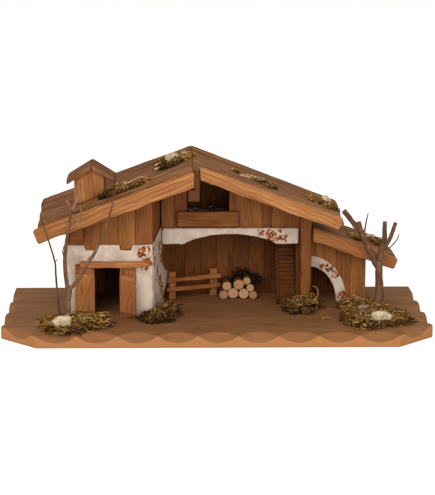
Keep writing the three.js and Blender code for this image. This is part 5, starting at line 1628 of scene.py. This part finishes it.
@dataclass
class LeanTo:
    """The lean-to on the right, with its round arch."""

    line: Roofline
    arch_x: float = 138.6
    arch_half: float = 40
    arch_height: float = 53.4
    arch_band: float = 15.5
    floor: float = 17
    fascia_height: float = 18.5
    seams: Pair = (148, 199)
    wall_tones: tuple[float, ...] = (0.06, 0.16, 0.08, 0.18)
    band_bare: tuple[Triple, ...] = (
        (167.8, 67.8, 7), (157.7, 70, 4), (178, 58, 6), (189.2, 25.5, 8),
    )

    def arch(self, x: Array) -> Array:
        """Height of the arch's opening over X, and of the floor beside it."""
        share = np.clip((x - self.arch_x) / self.arch_half, -1, 1)
        return self.floor + GAP + self.arch_height * np.sqrt(1 - share**2)

    def build(self) -> None:
        """Builds the walls, the plaster band, the roof boards and the fascia."""
        box = span("lean_to_front_wall")
        seams = [box.x[0], self.seams[0], self.arch_x + self.arch_half, self.seams[1], box.x[1]]
        row = BoardRow(seams, self.arch, self.line.below_lean, box.y, seed=31, tones=self.wall_tones)
        piece("lean_to_front_boards", row.slabs(), Finish.WALL, "lean_to_front_wall")
        box = span("lean_to_side_wall")
        top = level(self.line.below_lean(box.x[1]))
        outward = Axes((0, 1, 0), (0, 0, 1), (-1, 0, 0))
        depth = (-box.x[1], -box.x[0])
        row = BoardRow(seams_from(*box.y, 24.5, 33), level(box.z[0]), top, depth, outward, seed=33)
        piece("lean_to_side_boards", row.slabs(), Finish.WALL, "lean_to_side_wall")
        self.band()
        for k, name in enumerate(("lean_to_roof_front", "lean_to_roof_rear")):
            self.roof_board(name, k)
        name = "lean_to_fascia"
        hewn_bar(name, self.line.lean_top, span(name).x, self.fascia_height, 1.2, 131, Finish.LEAN_FASCIA)

    def band(self) -> None:
        """The plaster band: it follows the arch from its right foot to the post."""
        box = span("lean_to_arch_plaster")

        def ellipse(grow: float) -> Curve:
            """An ellipse round the arch, from its foot to the left edge of the band."""
            half, rise = self.arch_half + grow, self.arch_height + grow
            last = math.acos((box.x[0] - self.arch_x) / half)

            def curve(t: Array) -> Array:
                """Points of the ellipse."""
                angle = t * last
                height = np.maximum(self.floor + rise * np.sin(angle), self.floor + GAP)
                return np.stack([self.arch_x + half * np.cos(angle), height], -1)

            return curve

        look = {"edge": 0.8, "cells": (1.5, 1.5, 1), "relief": PLASTERED_BAND, "patches": self.band_bare}
        coat = Slab(ellipse(0), ellipse(self.arch_band), box.y, seed=34, **look)
        piece("lean_to_arch_coat", [coat], Finish.PLASTER, "lean_to_arch_plaster")

    def roof_board(self, name: str, k: int) -> None:
        """One board of the lean-to roof.

        Args:
            name: The CAD node.
            k: 0 for the front board, which starts beside the post, or 1.
        """
        box = span(name)
        start = box.x[0] if k else self.line.post_right
        heights = (self.line.lean_under, self.line.lean_top)
        look = {"edge": 1.2, "cells": (3, 3, 1.3), "relief": WEATHERED, "tint": -0.08 - 0.06 * k}
        shapes = [profile((start, box.x[1]), *heights, box.y, seed=135 + k, **look)]
        if not k:
            look = {"edge": 0.4, "cells": (3, 3, 2), "relief": WEATHERED}
            behind_post = (span("corner_post").y[1] + 2, box.y[1])
            shapes.append(profile((box.x[0], start), *heights, behind_post, seed=138, **look))
        piece(f"{name}_board", shapes, Finish.ROOF, name)


@dataclass
class Chimney:
    """A square wooden stack under a small gabled cap."""

    line: Roofline
    apex_x: float = -175.4
    apex_z: float = 234.5
    pitch: float = math.radians(32)
    cap_thickness: float = 7
    cap_overhang: float = 2  # mm that the cap's left end goes past the solid's

    def cap_top(self, x: Array) -> Array:
        """Top of the cap over X."""
        return self.apex_z - math.tan(self.pitch) * np.abs(x - self.apex_x)

    def cap_under(self, x: Array) -> Array:
        """Underside of the cap over X."""
        return self.cap_top(x) - self.cap_thickness / math.cos(self.pitch)

    def build(self) -> None:
        """Builds the stack and the two boards of its cap."""
        box = span("chimney_stack")
        look = {"edge": 1.8, "cells": (1.8, 2, 2), "relief": WORN_STACK, "grain_up": True}
        heights = (self.line.on_main, lambda x: self.cap_under(x) - GAP)
        stack = profile(box.x, *heights, box.y, seed=141, **look)
        piece("chimney_stack_block", [stack], Finish.HEWN, "chimney_stack")
        look = {"edge": 1.5, "cells": (2, 2, 1.5), "relief": WEATHERED, "tint": -0.2}
        for k, name in enumerate(("chimney_cap_left", "chimney_cap_right")):
            box = span(name)
            ends = box.x if k else (box.x[1], box.x[0] - self.cap_overhang)
            one = profile(ends, self.cap_under, self.cap_top, box.y, seed=142 + k, **look)
            piece(f"{name}_board", [one], Finish.ROOF, name)


@dataclass(frozen=True)
class TreeLimb:
    """A limb of a tree: radii in millimetres, and points in hundredths of the tree's height."""

    thick: float
    tip: float
    points: tuple[Triple, ...]
    tone: float = 0.5  # how pale its bark is, from 0 to 1


@dataclass
class Tree:
    """A bare little tree, cut from a dry branch."""

    name: str
    root: Triple
    height: float
    limbs: tuple[TreeLimb, ...]
    sides: int = 12
    seed: int = 0

    def build(self) -> None:
        """Builds the limbs as one piece."""
        limbs = []
        for k, limb in enumerate(self.limbs):
            points = np.array(limb.points) * self.height / 100 + np.array(self.root)
            look = {"bark": 0.13, "tint": limb.tone, "seed": self.seed + 7 * k}
            limbs.append(Limb(points, limb.thick, limb.tip, self.sides, 1.8, **look))
        piece(f"{self.name}_limbs", limbs, Finish.BARK, self.name)


LEFT_TREE = Tree(
    "left_tree", (-208, -88, 17.3), 203,
    (
        TreeLimb(4.2, 3.4, ((0, 0, 0), (0.5, 0, 12.8), (1.5, 0, 26.6))),
        TreeLimb(3.2, 1.9, (
            (1, 0, 23.6), (-0.5, -0.5, 32.5), (-1, 0.5, 46.3), (0, 0, 58.1), (2, -0.5, 70), (3.9, 0, 80.8),
        )),
        TreeLimb(1.6, 1.2, ((3.9, 0, 79.8), (2.5, -1, 83.7), (1, -2, 87.2)), 0.9),
        TreeLimb(1.8, 1.3, ((3.9, 0, 79.8), (7.4, 0.5, 86.7), (9.4, 1, 92.6), (9.4, 0, 100)), 0.9),
        TreeLimb(1.5, 1.1, ((2.5, 0, 69.5), (8.4, -1, 71.9), (10.3, -1.5, 77.3), (10.3, -1, 82.8)), 0.85),
        TreeLimb(2.8, 1.2, (
            (1.5, 0, 24.6), (9.9, -1.5, 35.5), (15.3, -2, 45.8), (18.7, -1.5, 50.2), (22.7, -1, 58.6),
            (25.6, -0.5, 65), (29.6, 0, 77.3), (32.5, 0.5, 87.2),
        )),
        TreeLimb(1, 0.7, ((-1, 0.5, 45.3), (-2.5, 1.5, 51.2), (-1.5, 1.5, 55.7))),
    ),
    seed=200,
)
LEFT_TWIG = Tree(
    "left_twig", (-218, -90, 17.3), 151,
    (
        TreeLimb(1.7, 1, (
            (0, 0, 0), (-1.3, 0, 19.2), (-2.6, 0, 36.4), (-3.3, 0, 47.7), (-4, 0, 60.9), (-9.3, -0.7, 80.1),
            (-13.2, -0.7, 92.1), (-16.6, 0, 100),
        ), 0.1),
        TreeLimb(0.8, 0.6, ((-4, 0, 59.6), (-1.3, 0.7, 62.9)), 0.1),
    ),
    sides=9, seed=300,
)
RIGHT_TREE = Tree(
    "right_tree", (234, -10, 17.3), 148,
    (
        TreeLimb(6.6, 5.4, ((0, 0, 0), (0.7, 0, 23.6), (-0.7, 0, 50))),
        TreeLimb(5, 3.4, (
            (0.7, 0, 41.9), (-6.1, 0, 52.7), (-14.2, 0, 70.3), (-18.9, -0.7, 81.1), (-20.9, -0.7, 88.5),
        ), 0.3),
        TreeLimb(4.2, 3.6, ((-18.2, -0.7, 78.4), (-27, -0.7, 89), (-35.5, -2, 100)), 0.2),
        TreeLimb(1.4, 0.8, ((-15.5, 0, 74.3), (-13.5, 1.4, 86.5), (-11.5, 2, 96.6))),
        TreeLimb(4.8, 3, ((0, 0, 41.9), (1.4, 0, 58.1), (4.7, 0, 71.6), (4.1, 0, 88.5)), 0.3),
        TreeLimb(3.4, 2.8, ((3.4, 0, 62.2), (8.8, -1.4, 70.3), (14.9, -2, 87.8)), 0.3),
        TreeLimb(1.2, 0.8, ((3.4, 0, 59.5), (10.1, 0.7, 62.8), (16.2, 1.4, 69.6), (18.9, 1.4, 75.7))),
    ),
    sides=16, seed=400,
)


@dataclass(frozen=True)
class Spot:
    """A round patch on which moss or straw lies, or a stone: centre, half widths and height."""

    x: float
    y: float
    rx: float
    ry: float
    height: float
    phase: float = 0.0


@dataclass
class Clump:
    """Tangled dry strands over a lumpy bed, whose dark colour is painted shade in the depth of the tangle.

    Each strand starts on the bed and turns at every step by a steady curl and a little
    noise, so that it loops back into the tangle.
    """

    name: str
    spots: tuple[Spot, ...]
    floor_at: Curve
    stands_for: str = ""
    keep_off: Callable[[Array], Array] | None = None
    finish: Finish = Finish.MOSS
    density: float = 0.32  # strands on a square millimetre of plan
    length: Pair = (9, 20)
    radius: Pair = (0.6, 1.15)
    curl: float = 1.15  # radians at each step
    bed: float = 0.6  # height of the bed as a share of the clump
    segments: int = 7
    shade: float = 0.0  # added to the tone of each strand
    seed: int = 0

    def height(self, spot: Spot, x: Array, y: Array) -> Array:
        """Height of a patch over its floor: a dome, with lumps from noise.

        Args:
            spot: The patch.
            x: Places to the right.
            y: Places to the back.

        Returns:
            Millimetres above the floor.
        """
        away = np.clip(((x - spot.x) / spot.rx) ** 2 + ((y - spot.y) / spot.ry) ** 2, 0, 1)
        lumps = noise(np.stack([x, y, 0 * x + 40 * spot.phase], -1), 11, self.seed + 2, 2)
        return spot.height * np.sqrt(1 - away) * (0.82 + 0.3 * lumps)

    def bed_surface(self, spot: Spot) -> Surface:
        """The bed of a patch: rings that draw in from its rim to its middle."""
        angle = np.linspace(0, 2 * math.pi, 60, endpoint=False)
        share = np.sin(np.linspace(math.pi / 2, 0.04, 14))
        reach = share[:, None] * wavy_rim(angle, spot) * 0.9
        x = spot.x + spot.rx * reach * np.cos(angle)
        y = spot.y + spot.ry * reach * np.sin(angle)
        floor = self.floor_at(x)
        z = np.maximum(floor + self.bed * self.height(spot, x, y), floor)
        rings = np.concatenate([np.stack([x, y, floor], -1)[1:2], np.stack([x, y, z], -1)])
        if self.keep_off is not None:
            rings = self.pushed_in(rings, spot)
        # painted shade: the bed takes the darkest tones, for the shade in the depth of the tangle
        tint = 0.1 + 0.12 * noise(rings, 3, self.seed, 2)
        return Surface.from_rings(rings, {"tint": np.clip(tint, 0, 1), "sawn": np.zeros(tint.shape)})

    def pushed_in(self, rings: Array, spot: Spot) -> Array:
        """Draws points that lie where nothing may towards the middle of the bed.

        Args:
            rings: Points of the bed.
            spot: The patch.

        Returns:
            The points, all of them allowed.
        """
        middle = np.array([spot.x, spot.y, 0.0])
        for _ in range(24):
            wrong = self.keep_off(rings)
            if not wrong.any():
                break
            towards = middle - rings
            towards[..., 2] = self.floor_at(rings[..., 0]) - rings[..., 2]
            rings = np.where(wrong[..., None], rings + 0.12 * towards, rings)
        return rings

    def strands(self, spot: Spot, rng: np.random.Generator) -> Surface:
        """All strands of a patch at once: triangular tubes along curling lines.

        Args:
            spot: The patch.
            rng: The source of chance.

        Returns:
            The strands as one surface.
        """
        count = int(self.density * math.pi * spot.rx * spot.ry)
        angle = rng.uniform(0, 2 * math.pi, count)
        away = np.sqrt(rng.uniform(0, 1, count)) * 0.97
        rim = wavy_rim(angle, spot)
        x = spot.x + spot.rx * away * rim * np.cos(angle)
        y = spot.y + spot.ry * away * rim * np.sin(angle)
        floor, dome = self.floor_at(x), self.height(spot, x, y)
        at = np.stack([x, y, floor + dome * rng.uniform(0.55, 0.95, count)], -1)
        sideways = [rng.normal(0, 1, count), rng.normal(0, 1, count)]
        heading = unit(np.stack([*sideways, rng.uniform(-0.2, 0.7, count)], -1))
        crown = floor + dome * rng.uniform(1.0, 1.35, count) + 1.5
        axis = unit(rng.normal(0, 1, (count, 3)))
        curl = rng.uniform(0.3, 1, (count, 1)) * self.curl
        step = rng.uniform(*self.length, (count, 1)) / self.segments
        line = [at]
        for _ in range(self.segments):
            turn = np.cross(axis, heading)
            heading = unit(heading * np.cos(curl) + turn * np.sin(curl) + rng.normal(0, 0.16, (count, 3)))
            at = at + heading * step
            at[:, 2] = np.clip(at[:, 2], self.floor_at(at[:, 0]) + 0.8, crown)
            line.append(at)
        lines = np.stack(line, 1)
        # painted shade and painted highlight: a strand's tone rises with its height in the clump, so low
        # strands are darker and high ones lighter
        height = (lines[..., 2].mean(1) - self.floor_at(spot.x + 0 * x)) / spot.height
        tone = np.clip(0.22 + self.shade + 0.4 * height + rng.normal(0, 0.2, count), 0, 1)
        radius = rng.uniform(*self.radius, count)
        if self.keep_off is not None:
            good = ~self.keep_off(lines).any(1)
            lines, tone, radius = lines[good], tone[good], radius[good]
        return tubes(lines, radius, tone)

    def build(self) -> None:
        """Builds the bed and the strands as one piece."""
        rng = np.random.default_rng(self.seed)
        shells = [self.bed_surface(spot) for spot in self.spots]
        shells += [self.strands(spot, rng) for spot in self.spots]
        piece(self.name, shells, self.finish, self.stands_for)


def wavy_rim(angle: Array, spot: Spot) -> Array:
    """How far a patch reaches at each angle: 1, with waves of three and five to the round."""
    return 1 + 0.1 * np.sin(3 * angle + spot.phase) + 0.07 * np.sin(5 * angle + 2 * spot.phase)


def tubes(lines: Array, radius: Array, tone: Array) -> Surface:
    """Thin closed tubes of three sides along many lines.

    Args:
        lines: Points as tube, place on the line, direction.
        radius: Radius of each tube at its middle. Both ends are thinner.
        tone: Tint of each tube.

    Returns:
        One surface that holds them all.
    """
    count, places = lines.shape[:2]
    along = unit(np.gradient(lines, axis=1), 1e-9)
    helper = np.where(np.abs(along[..., 2:]) < 0.8, [0.0, 0.0, 1.0], [1.0, 0.0, 0.0])
    across = unit(np.cross(along, helper))
    around = spokes(np.arange(3) * 2 * math.pi / 3, across, np.cross(along, across))
    taper = 0.35 + 0.65 * np.sin(np.linspace(0.25, math.pi - 0.3, places))
    reach = radius[:, None, None, None] * taper[None, :, None, None]
    points = (lines[:, :, None] + reach * around).reshape(-1, 3)
    index = np.arange(count * places * 3).reshape(count, places, 3)
    beside = np.roll(index, -1, axis=2)
    quads = np.stack([index[:, :-1], beside[:, :-1], beside[:, 1:], index[:, 1:]], -1).reshape(-1, 4)
    triangles = np.concatenate([index[:, 0, ::-1], index[:, -1]])
    tint = np.repeat(tone, places * 3)
    return Surface(points, quads, triangles, {"tint": tint, "sawn": np.zeros(len(tint))})


def stone(name: str, spot: Spot, floor: float, finish: Finish, stands_for: str = "") -> None:
    """A pebble: a flattened ball, with broad facets and fine pits from noise.

    Args:
        name: The piece's name.
        spot: Its place and size.
        floor: Height of what it lies on.
        finish: Its finish.
        stands_for: The CAD node that it replaces, if there is one.
    """
    climb = np.linspace(-1.35, 1.52, 22)
    angle = np.linspace(0, 2 * math.pi, 40, endpoint=False)
    flat = np.cos(climb)[:, None]
    ball = np.stack([flat * np.cos(angle), flat * np.sin(angle), np.sin(climb)[:, None] + 0 * angle], -1)
    seed = int(spot.phase * 100)
    bulge = 1 + 0.2 * noise(ball * 10, 8, seed, 1) + 0.035 * noise(ball * 10, 2.2, seed + 4, 2)
    size = np.array([spot.rx, spot.ry, spot.height * 0.62])
    rings = ball * bulge[..., None] * size + np.array([spot.x, spot.y, floor + spot.height * 0.42])
    rings[..., 2] = np.maximum(rings[..., 2], floor + 0.2)
    zero = np.zeros(rings.shape[:2])
    piece(name, [Surface.from_rings(rings, {"tint": zero, "sawn": zero})], finish, stands_for)


@dataclass
class Planting:
    """Moss, stones, sticks and straw, set on the base board, the roofs and the loft floor."""

    roof: Roofline
    leaf_swing: float = 28.5
    swing_floor: float = 23.5
    house_y: float = -43  # just in front of the house
    corner: Pair = (-88.8, -38)  # X and Y just outside the plastered corner
    lean_to_y: float = 47  # just in front of the lean-to
    chimney: Pair = (-156.5, -18.5)  # X of its right side and Y of its front
    window_x: Pair = (-39.5, 19)
    window_z: Pair = (156, 197)
    gable_y: Pair = (31, 39)
    stall_back: float = 106.5
    left_pebble: Spot = Spot(-214, -106, 14, 9, 19, 1.6)
    right_pebble: Spot = Spot(230, -79, 16, 8.5, 16, 3.8)
    grey_pebble: Spot = Spot(209, -30, 8.5, 7, 14, 2.7)
    flat_pebble: Spot = Spot(213, -64, 6, 5, 8, 1.2)

    def build(self) -> None:
        """Builds every clump, stone and stick."""
        ground = span("stone_left").z[0]
        clumps = (*self.ground_moss(ground), *self.roof_moss(), *self.dry_plants(ground))
        for clump in clumps:
            clump.build()
        self.stones(ground)
        self.sticks(ground)

    def in_sweep(self, points: Array, hinge: Pair) -> Array:
        """Which points lie in the space that a door leaf sweeps."""
        away = np.hypot(points[..., 0] - hinge[0], points[..., 1] - hinge[1])
        return (away < self.leaf_swing) & (points[..., 2] > self.swing_floor)

    def hides(self, points: Array, pebble: Spot, ground: float) -> Array:
        """Which points lie in a pebble, or stand too high in front of it."""
        x, y, z = (points[..., k] for k in range(3))
        inside = np.hypot((x - pebble.x) / pebble.rx, (y - pebble.y) / pebble.ry) < 1.0
        in_front = (np.abs(x - pebble.x) < 0.9 * pebble.rx) & (y < pebble.y) & (y > pebble.y - 34)
        return inside | (in_front & (z > ground + 8))

    def ground_moss(self, ground: float) -> tuple[Clump, ...]:
        """The four clumps on the base board, whose top is at the given height."""
        doorway = Doorway()
        floor = level(ground)

        def left_keep_off(points: Array) -> Array:
            """The left leaf's sweep, the wall and the pebble."""
            swept = self.in_sweep(points, doorway.left_hinge)
            return swept | (points[..., 1] > self.house_y) | self.hides(points, self.left_pebble, ground)

        def corner_keep_off(points: Array) -> Array:
            """The right leaf's sweep and the plastered corner."""
            x, y = self.corner
            splay = points[..., 0] < x + SPLAY_SLOPE * (points[..., 1] - y)
            return self.in_sweep(points, doorway.right_hinge) | (splay & (points[..., 1] > y - 1))

        def right_keep_off(points: Array) -> Array:
            """The wall of the lean-to and the pebbles."""
            pale = self.hides(points, self.right_pebble, ground)
            grey = self.hides(points, self.grey_pebble, ground + 3)
            return (points[..., 1] > self.lean_to_y) | pale | grey

        return (
            Clump(
                "moss_left_tangle", (Spot(-205, -96, 38, 38, 15, 1), Spot(-172, -86, 22, 19, 13, 4)),
                floor, "moss_left", left_keep_off, length=(10, 25), curl=0.8, shade=0.04, seed=501,
            ),
            Clump(
                "moss_corner_tangle", (Spot(-84, -58, 24, 22, 14, 2), Spot(-70, -26, 15, 24, 17, 5)),
                floor, "moss_corner", corner_keep_off, shade=-0.14, seed=502,
            ),
            Clump(
                "moss_post_tangle", (Spot(120, -4, 16, 26, 18, 3), Spot(136.1, 12, 14, 14, 19, 1)),
                floor, "moss_post", density=0.26, length=(10, 24), curl=0.8, seed=503,
            ),
            Clump(
                "moss_right_tangle", (Spot(222, -58, 50, 58, 15, 2), Spot(203, 10, 26, 24, 15, 6)),
                floor, "moss_right", right_keep_off, density=0.2, shade=0.08, seed=504,
            ),
        )

    def roof_moss(self) -> tuple[Clump, ...]:
        """Clumps on the main roof and on the lean-to."""

        def chimney_keep_off(points: Array) -> Array:
            """The chimney stack."""
            return (points[..., 0] < self.chimney[0]) & (points[..., 1] > self.chimney[1])

        main, lean = self.roof.on_main, self.roof.on_lean
        low = {"length": (6, 13), "radius": (0.4, 0.8), "density": 0.5}
        return (
            Clump(
                "moss_ridge_tangle", (Spot(-61, 38, 26, 27, 12, 2), Spot(-40, 60, 9, 13, 5, 1)), main,
                "moss_ridge", seed=505, **low,
            ),
            Clump(
                "moss_chimney_tangle", (Spot(-140, -40, 25, 16, 10, 3), Spot(-114, -36, 20, 18, 9, 1)),
                main, "moss_chimney", chimney_keep_off, seed=506, **low,
            ),
            Clump(
                "moss_slope_tangle",
                (Spot(58, 26, 18, 9, 3.5, 4), Spot(79, 14, 8, 9, 5, 2), Spot(29, 40, 5, 6, 3, 1)), main,
                seed=508, **low,
            ),
            Clump(
                "moss_eave_tangle", (Spot(147, 38, 16, 20, 8, 4), Spot(165, 26, 11, 18, 8, 2)),
                lambda x: main(x) - 3, seed=509, **low,
            ),
            Clump(
                "moss_lean_to_tangle", (Spot(207, 56, 9, 18, 4, 2), Spot(240, 76, 11, 18, 7, 5)), lean,
                seed=510, **low,
            ),
        )

    def dry_plants(self, ground: float) -> tuple[Clump, ...]:
        """Dried moss behind the firewood, dark of itself and darker with painted shade, and straw in the
        window, darkened with painted shade.
        """

        def window_keep_off(points: Array) -> Array:
            """The boards beside and above the window, and the board below it."""
            x, y, z = (points[..., k] for k in range(3))
            (left, right), (sill, head), (front, back) = self.window_x, self.window_z, self.gable_y
            beside = (x < left) | (x > right) | (z > head) | (z < sill)
            return ((y < back) & beside) | (y < front)

        return (
            Clump(
                "firewood_moss_tangle",
                (Spot(44, 92, 15, 11, 20, 1), Spot(60, 92, 10, 10, 12, 3), Spot(24, 92, 9, 9, 7, 2)),
                level(ground + 19), keep_off=lambda points: points[..., 1] > self.stall_back,
                finish=Finish.DARK_MOSS, length=(10, 20), radius=(0.5, 0.9), seed=511,
            ),
            Clump(
                "loft_straw_tangle", (Spot(-16.25, 48, 26, 12, 23, 2),),
                level(span("loft_floor").z[1] + GAP), "loft_straw", window_keep_off, Finish.STRAW,
                density=0.3, length=(26, 46), radius=(0.4, 0.8), curl=0.3, shade=0.12, seed=507,
            ),
        )

    def stones(self, ground: float) -> None:
        """Pebbles in the moss, on the board and on the roofs."""
        pale, grey = Finish.PALE_STONE, Finish.GREY_STONE
        stone("stone_left_pebble", self.left_pebble, ground, pale, "stone_left")
        stone("stone_right_pebble", self.right_pebble, ground, pale, "stone_right")
        stone("stone_moss_pebble", self.grey_pebble, ground, grey)
        main, lean = self.roof.on_main, self.roof.on_lean
        on_roofs = (
            ("stone_ridge_pebble", Spot(-60, 34, 13, 9, 16, 4.4), main, pale),
            ("stone_chimney_pebble", Spot(-119, -42, 8, 6, 8, 5.1), main, grey),
            ("stone_slope_pebble", Spot(60, 31, 14, 9, 6, 2.2), main, grey),
            ("stone_eave_pebble", Spot(161, 50, 8, 8, 12, 6.1), main, pale),
            ("stone_lean_to_pebble", Spot(234, 94, 8, 7, 9, 3.3), lean, pale),
        )
        for name, spot, surface, finish in on_roofs:
            stone(name, spot, surface(spot.x) - 1, finish)
        stone("stone_flat_pebble", self.flat_pebble, ground, pale)

    def sticks(self, ground: float) -> None:
        """A strand on the board, a sprig at the post, and pale stick ends by the ridge."""
        strand = ((148.5, -63, 1.2), (153, -57.5, 2.6), (157.5, -56, 2.6), (162, -58, 1.2))
        sprig = ((132, 4, 2), (143, 1, 12), (148, 0, 24), (145, 1, 33), (140, 2, 34))
        for name, points, thick in (("board_strand", strand, 1.3), ("post_sprig", sprig, 0.9)):
            place = np.array(points, float) + [0, 0, ground]
            limb = Limb(place, thick, 0.6, sides=8, step=1.6, sawn_tip=False, tint=0.62, seed=520)
            piece(name, [limb], Finish.MOSS)
        top = self.roof.on_main
        sticks = []
        for k, (y, z) in enumerate(((36, 6.5), (22, 3.2))):
            root, tip = np.array([-66, y + 8, top(-66) + z]), np.array([-87, y, top(-87) + z])
            sticks.append(Limb([root, (root + tip) / 2, tip], 1.9, 2.1, sides=10, seed=530 + k))
        piece("ridge_sticks", sticks, Finish.DRY_STICK)
        straw = np.array([(-128, -45, 8.5), (-118, -47, 10), (-108, -46, 11), (-99, -42, 9)])
        straw[:, 2] += top(straw[:, 0])
        piece("chimney_straw", [Limb(straw, 1.2, 0.8, sides=8, seed=540)], Finish.DRY_STICK)


def seen_directly(tree: bpy.types.NodeTree) -> bpy.types.Node:
    """A node that gives 1 to what the camera sees, straight or in a reflection, and 0 to the rest."""
    ray = node(tree, "LightPath").outputs
    glossy = node(tree, "Math", {"operation": "MAXIMUM"}, i0=ray["Is Camera Ray"], i1=ray["Is Glossy Ray"])
    return node(tree, "Math", {"operation": "MAXIMUM"}, i0=glossy, i1=ray["Is Transmission Ray"])


@dataclass
class Studio:
    """Camera, lamps and floor. None of it belongs to the stable."""

    position: Triple = (-0.0680, -2.3607, 0.6052)
    pitch: float = math.radians(11.8635)
    yaw: float = math.radians(0.8578)
    lens: float = 122.58
    shift: float = 0.05
    sky: float = 0.6
    warmth: tuple[float, ...] = (1.0, 0.9, 0.76, 1.0)
    key: float = 24.0
    fill: float = 12.0
    floor_half: float = 6.0
    floor_glow: float = 0.62

    def build(self) -> None:
        """Builds the camera, the world, the lamps and the floor."""
        scene = bpy.context.scene
        camera_data = bpy.data.cameras.new("photo_camera")
        camera_data.lens = self.lens
        camera_data.sensor_width = 36
        camera_data.shift_x = self.shift
        camera = bpy.data.objects.new("photo_camera", camera_data)
        camera.location = self.position
        camera.rotation_euler = (math.pi / 2 - self.pitch, 0, -self.yaw)
        scene.collection.objects.link(camera)
        scene.camera = camera
        self.world()
        self.lamp("key_lamp", (-0.8, -2.2, 1.5), 1.2, self.key)
        self.lamp("fill_lamp", (0.7, -2.4, 0.5), 1.2, self.fill)
        self.floor()
        scene.view_settings.view_transform = "Standard"

    def world(self) -> None:
        """Even light from all round, which the camera sees as plain white."""
        world = bpy.data.worlds.new("studio_world")
        world.use_nodes = True
        tree = world.node_tree
        seen = seen_directly(tree)
        strength = node(tree, "Mix", {2: self.sky, 3: 1.0}, i0=seen)
        warm = node(tree, "Mix", {"data_type": "RGBA", 6: self.warmth, 7: (1, 1, 1, 1)}, i0=seen)
        node(tree, tree.nodes["Background"], Strength=strength, Color=warm.outputs[2])
        bpy.context.scene.world = world

    def lamp(self, name: str, place: Triple, size: float, power: float) -> None:
        """A soft square lamp that points at the middle of the stable.

        Args:
            name: The lamp's name.
            place: Where it hangs, in metres.
            size: Its width in metres.
            power: Its power in watts.
        """
        data = bpy.data.lights.new(name, "AREA")
        data.size = size
        data.energy = power
        data.color = (1.0, 0.96, 0.9)
        lamp = bpy.data.objects.new(name, data)
        lamp.location = place
        lamp.rotation_euler = (Vector((0, 0, 0.08)) - Vector(place)).to_track_quat("-Z", "Y").to_euler()
        bpy.context.scene.collection.objects.link(lamp)

    def floor(self) -> None:
        """A pale floor that the camera sees as white, apart from the stable's shadow."""
        mesh = bpy.data.meshes.new("studio_floor")
        half = self.floor_half
        corners = [(-half, -half, 0), (half, -half, 0), (half, half, 0), (-half, half, 0)]
        mesh.from_pydata(corners, [], [(0, 1, 2, 3)])
        floor = bpy.data.objects.new("studio_floor", mesh)
        bpy.context.scene.collection.objects.link(floor)
        material, tree, shader = new_material("matt white floor")
        white = {"Base Color": (0.86, 0.86, 0.86, 1), "Roughness": 0.9}
        white["Emission Color"] = (0.88, 0.94, 1, 1)
        seen = seen_directly(tree)
        glow = node(tree, "Math", {"operation": "MULTIPLY", 1: self.floor_glow}, i0=seen)
        node(tree, shader, white, Emission_Strength=glow)
        mesh.materials.append(material)


def main() -> None:
    """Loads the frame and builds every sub-assembly."""
    logging.basicConfig(level=logging.INFO, format="%(name)s: %(message)s")
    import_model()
    roof = Roofline.read()
    Studio().build()
    assemblies = [
        BaseBoard(), House(roof), Doorway(), Stall(roof), Loft(roof), Roof(roof), LeanTo(roof),
        Chimney(roof), LEFT_TREE, LEFT_TWIG, RIGHT_TREE, Planting(roof),
    ]
    for assembly in assemblies:
        assembly.build()
        LOG.info("%s is built", type(assembly).__name__)
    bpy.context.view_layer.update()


if __name__ == "__main__":
    main()
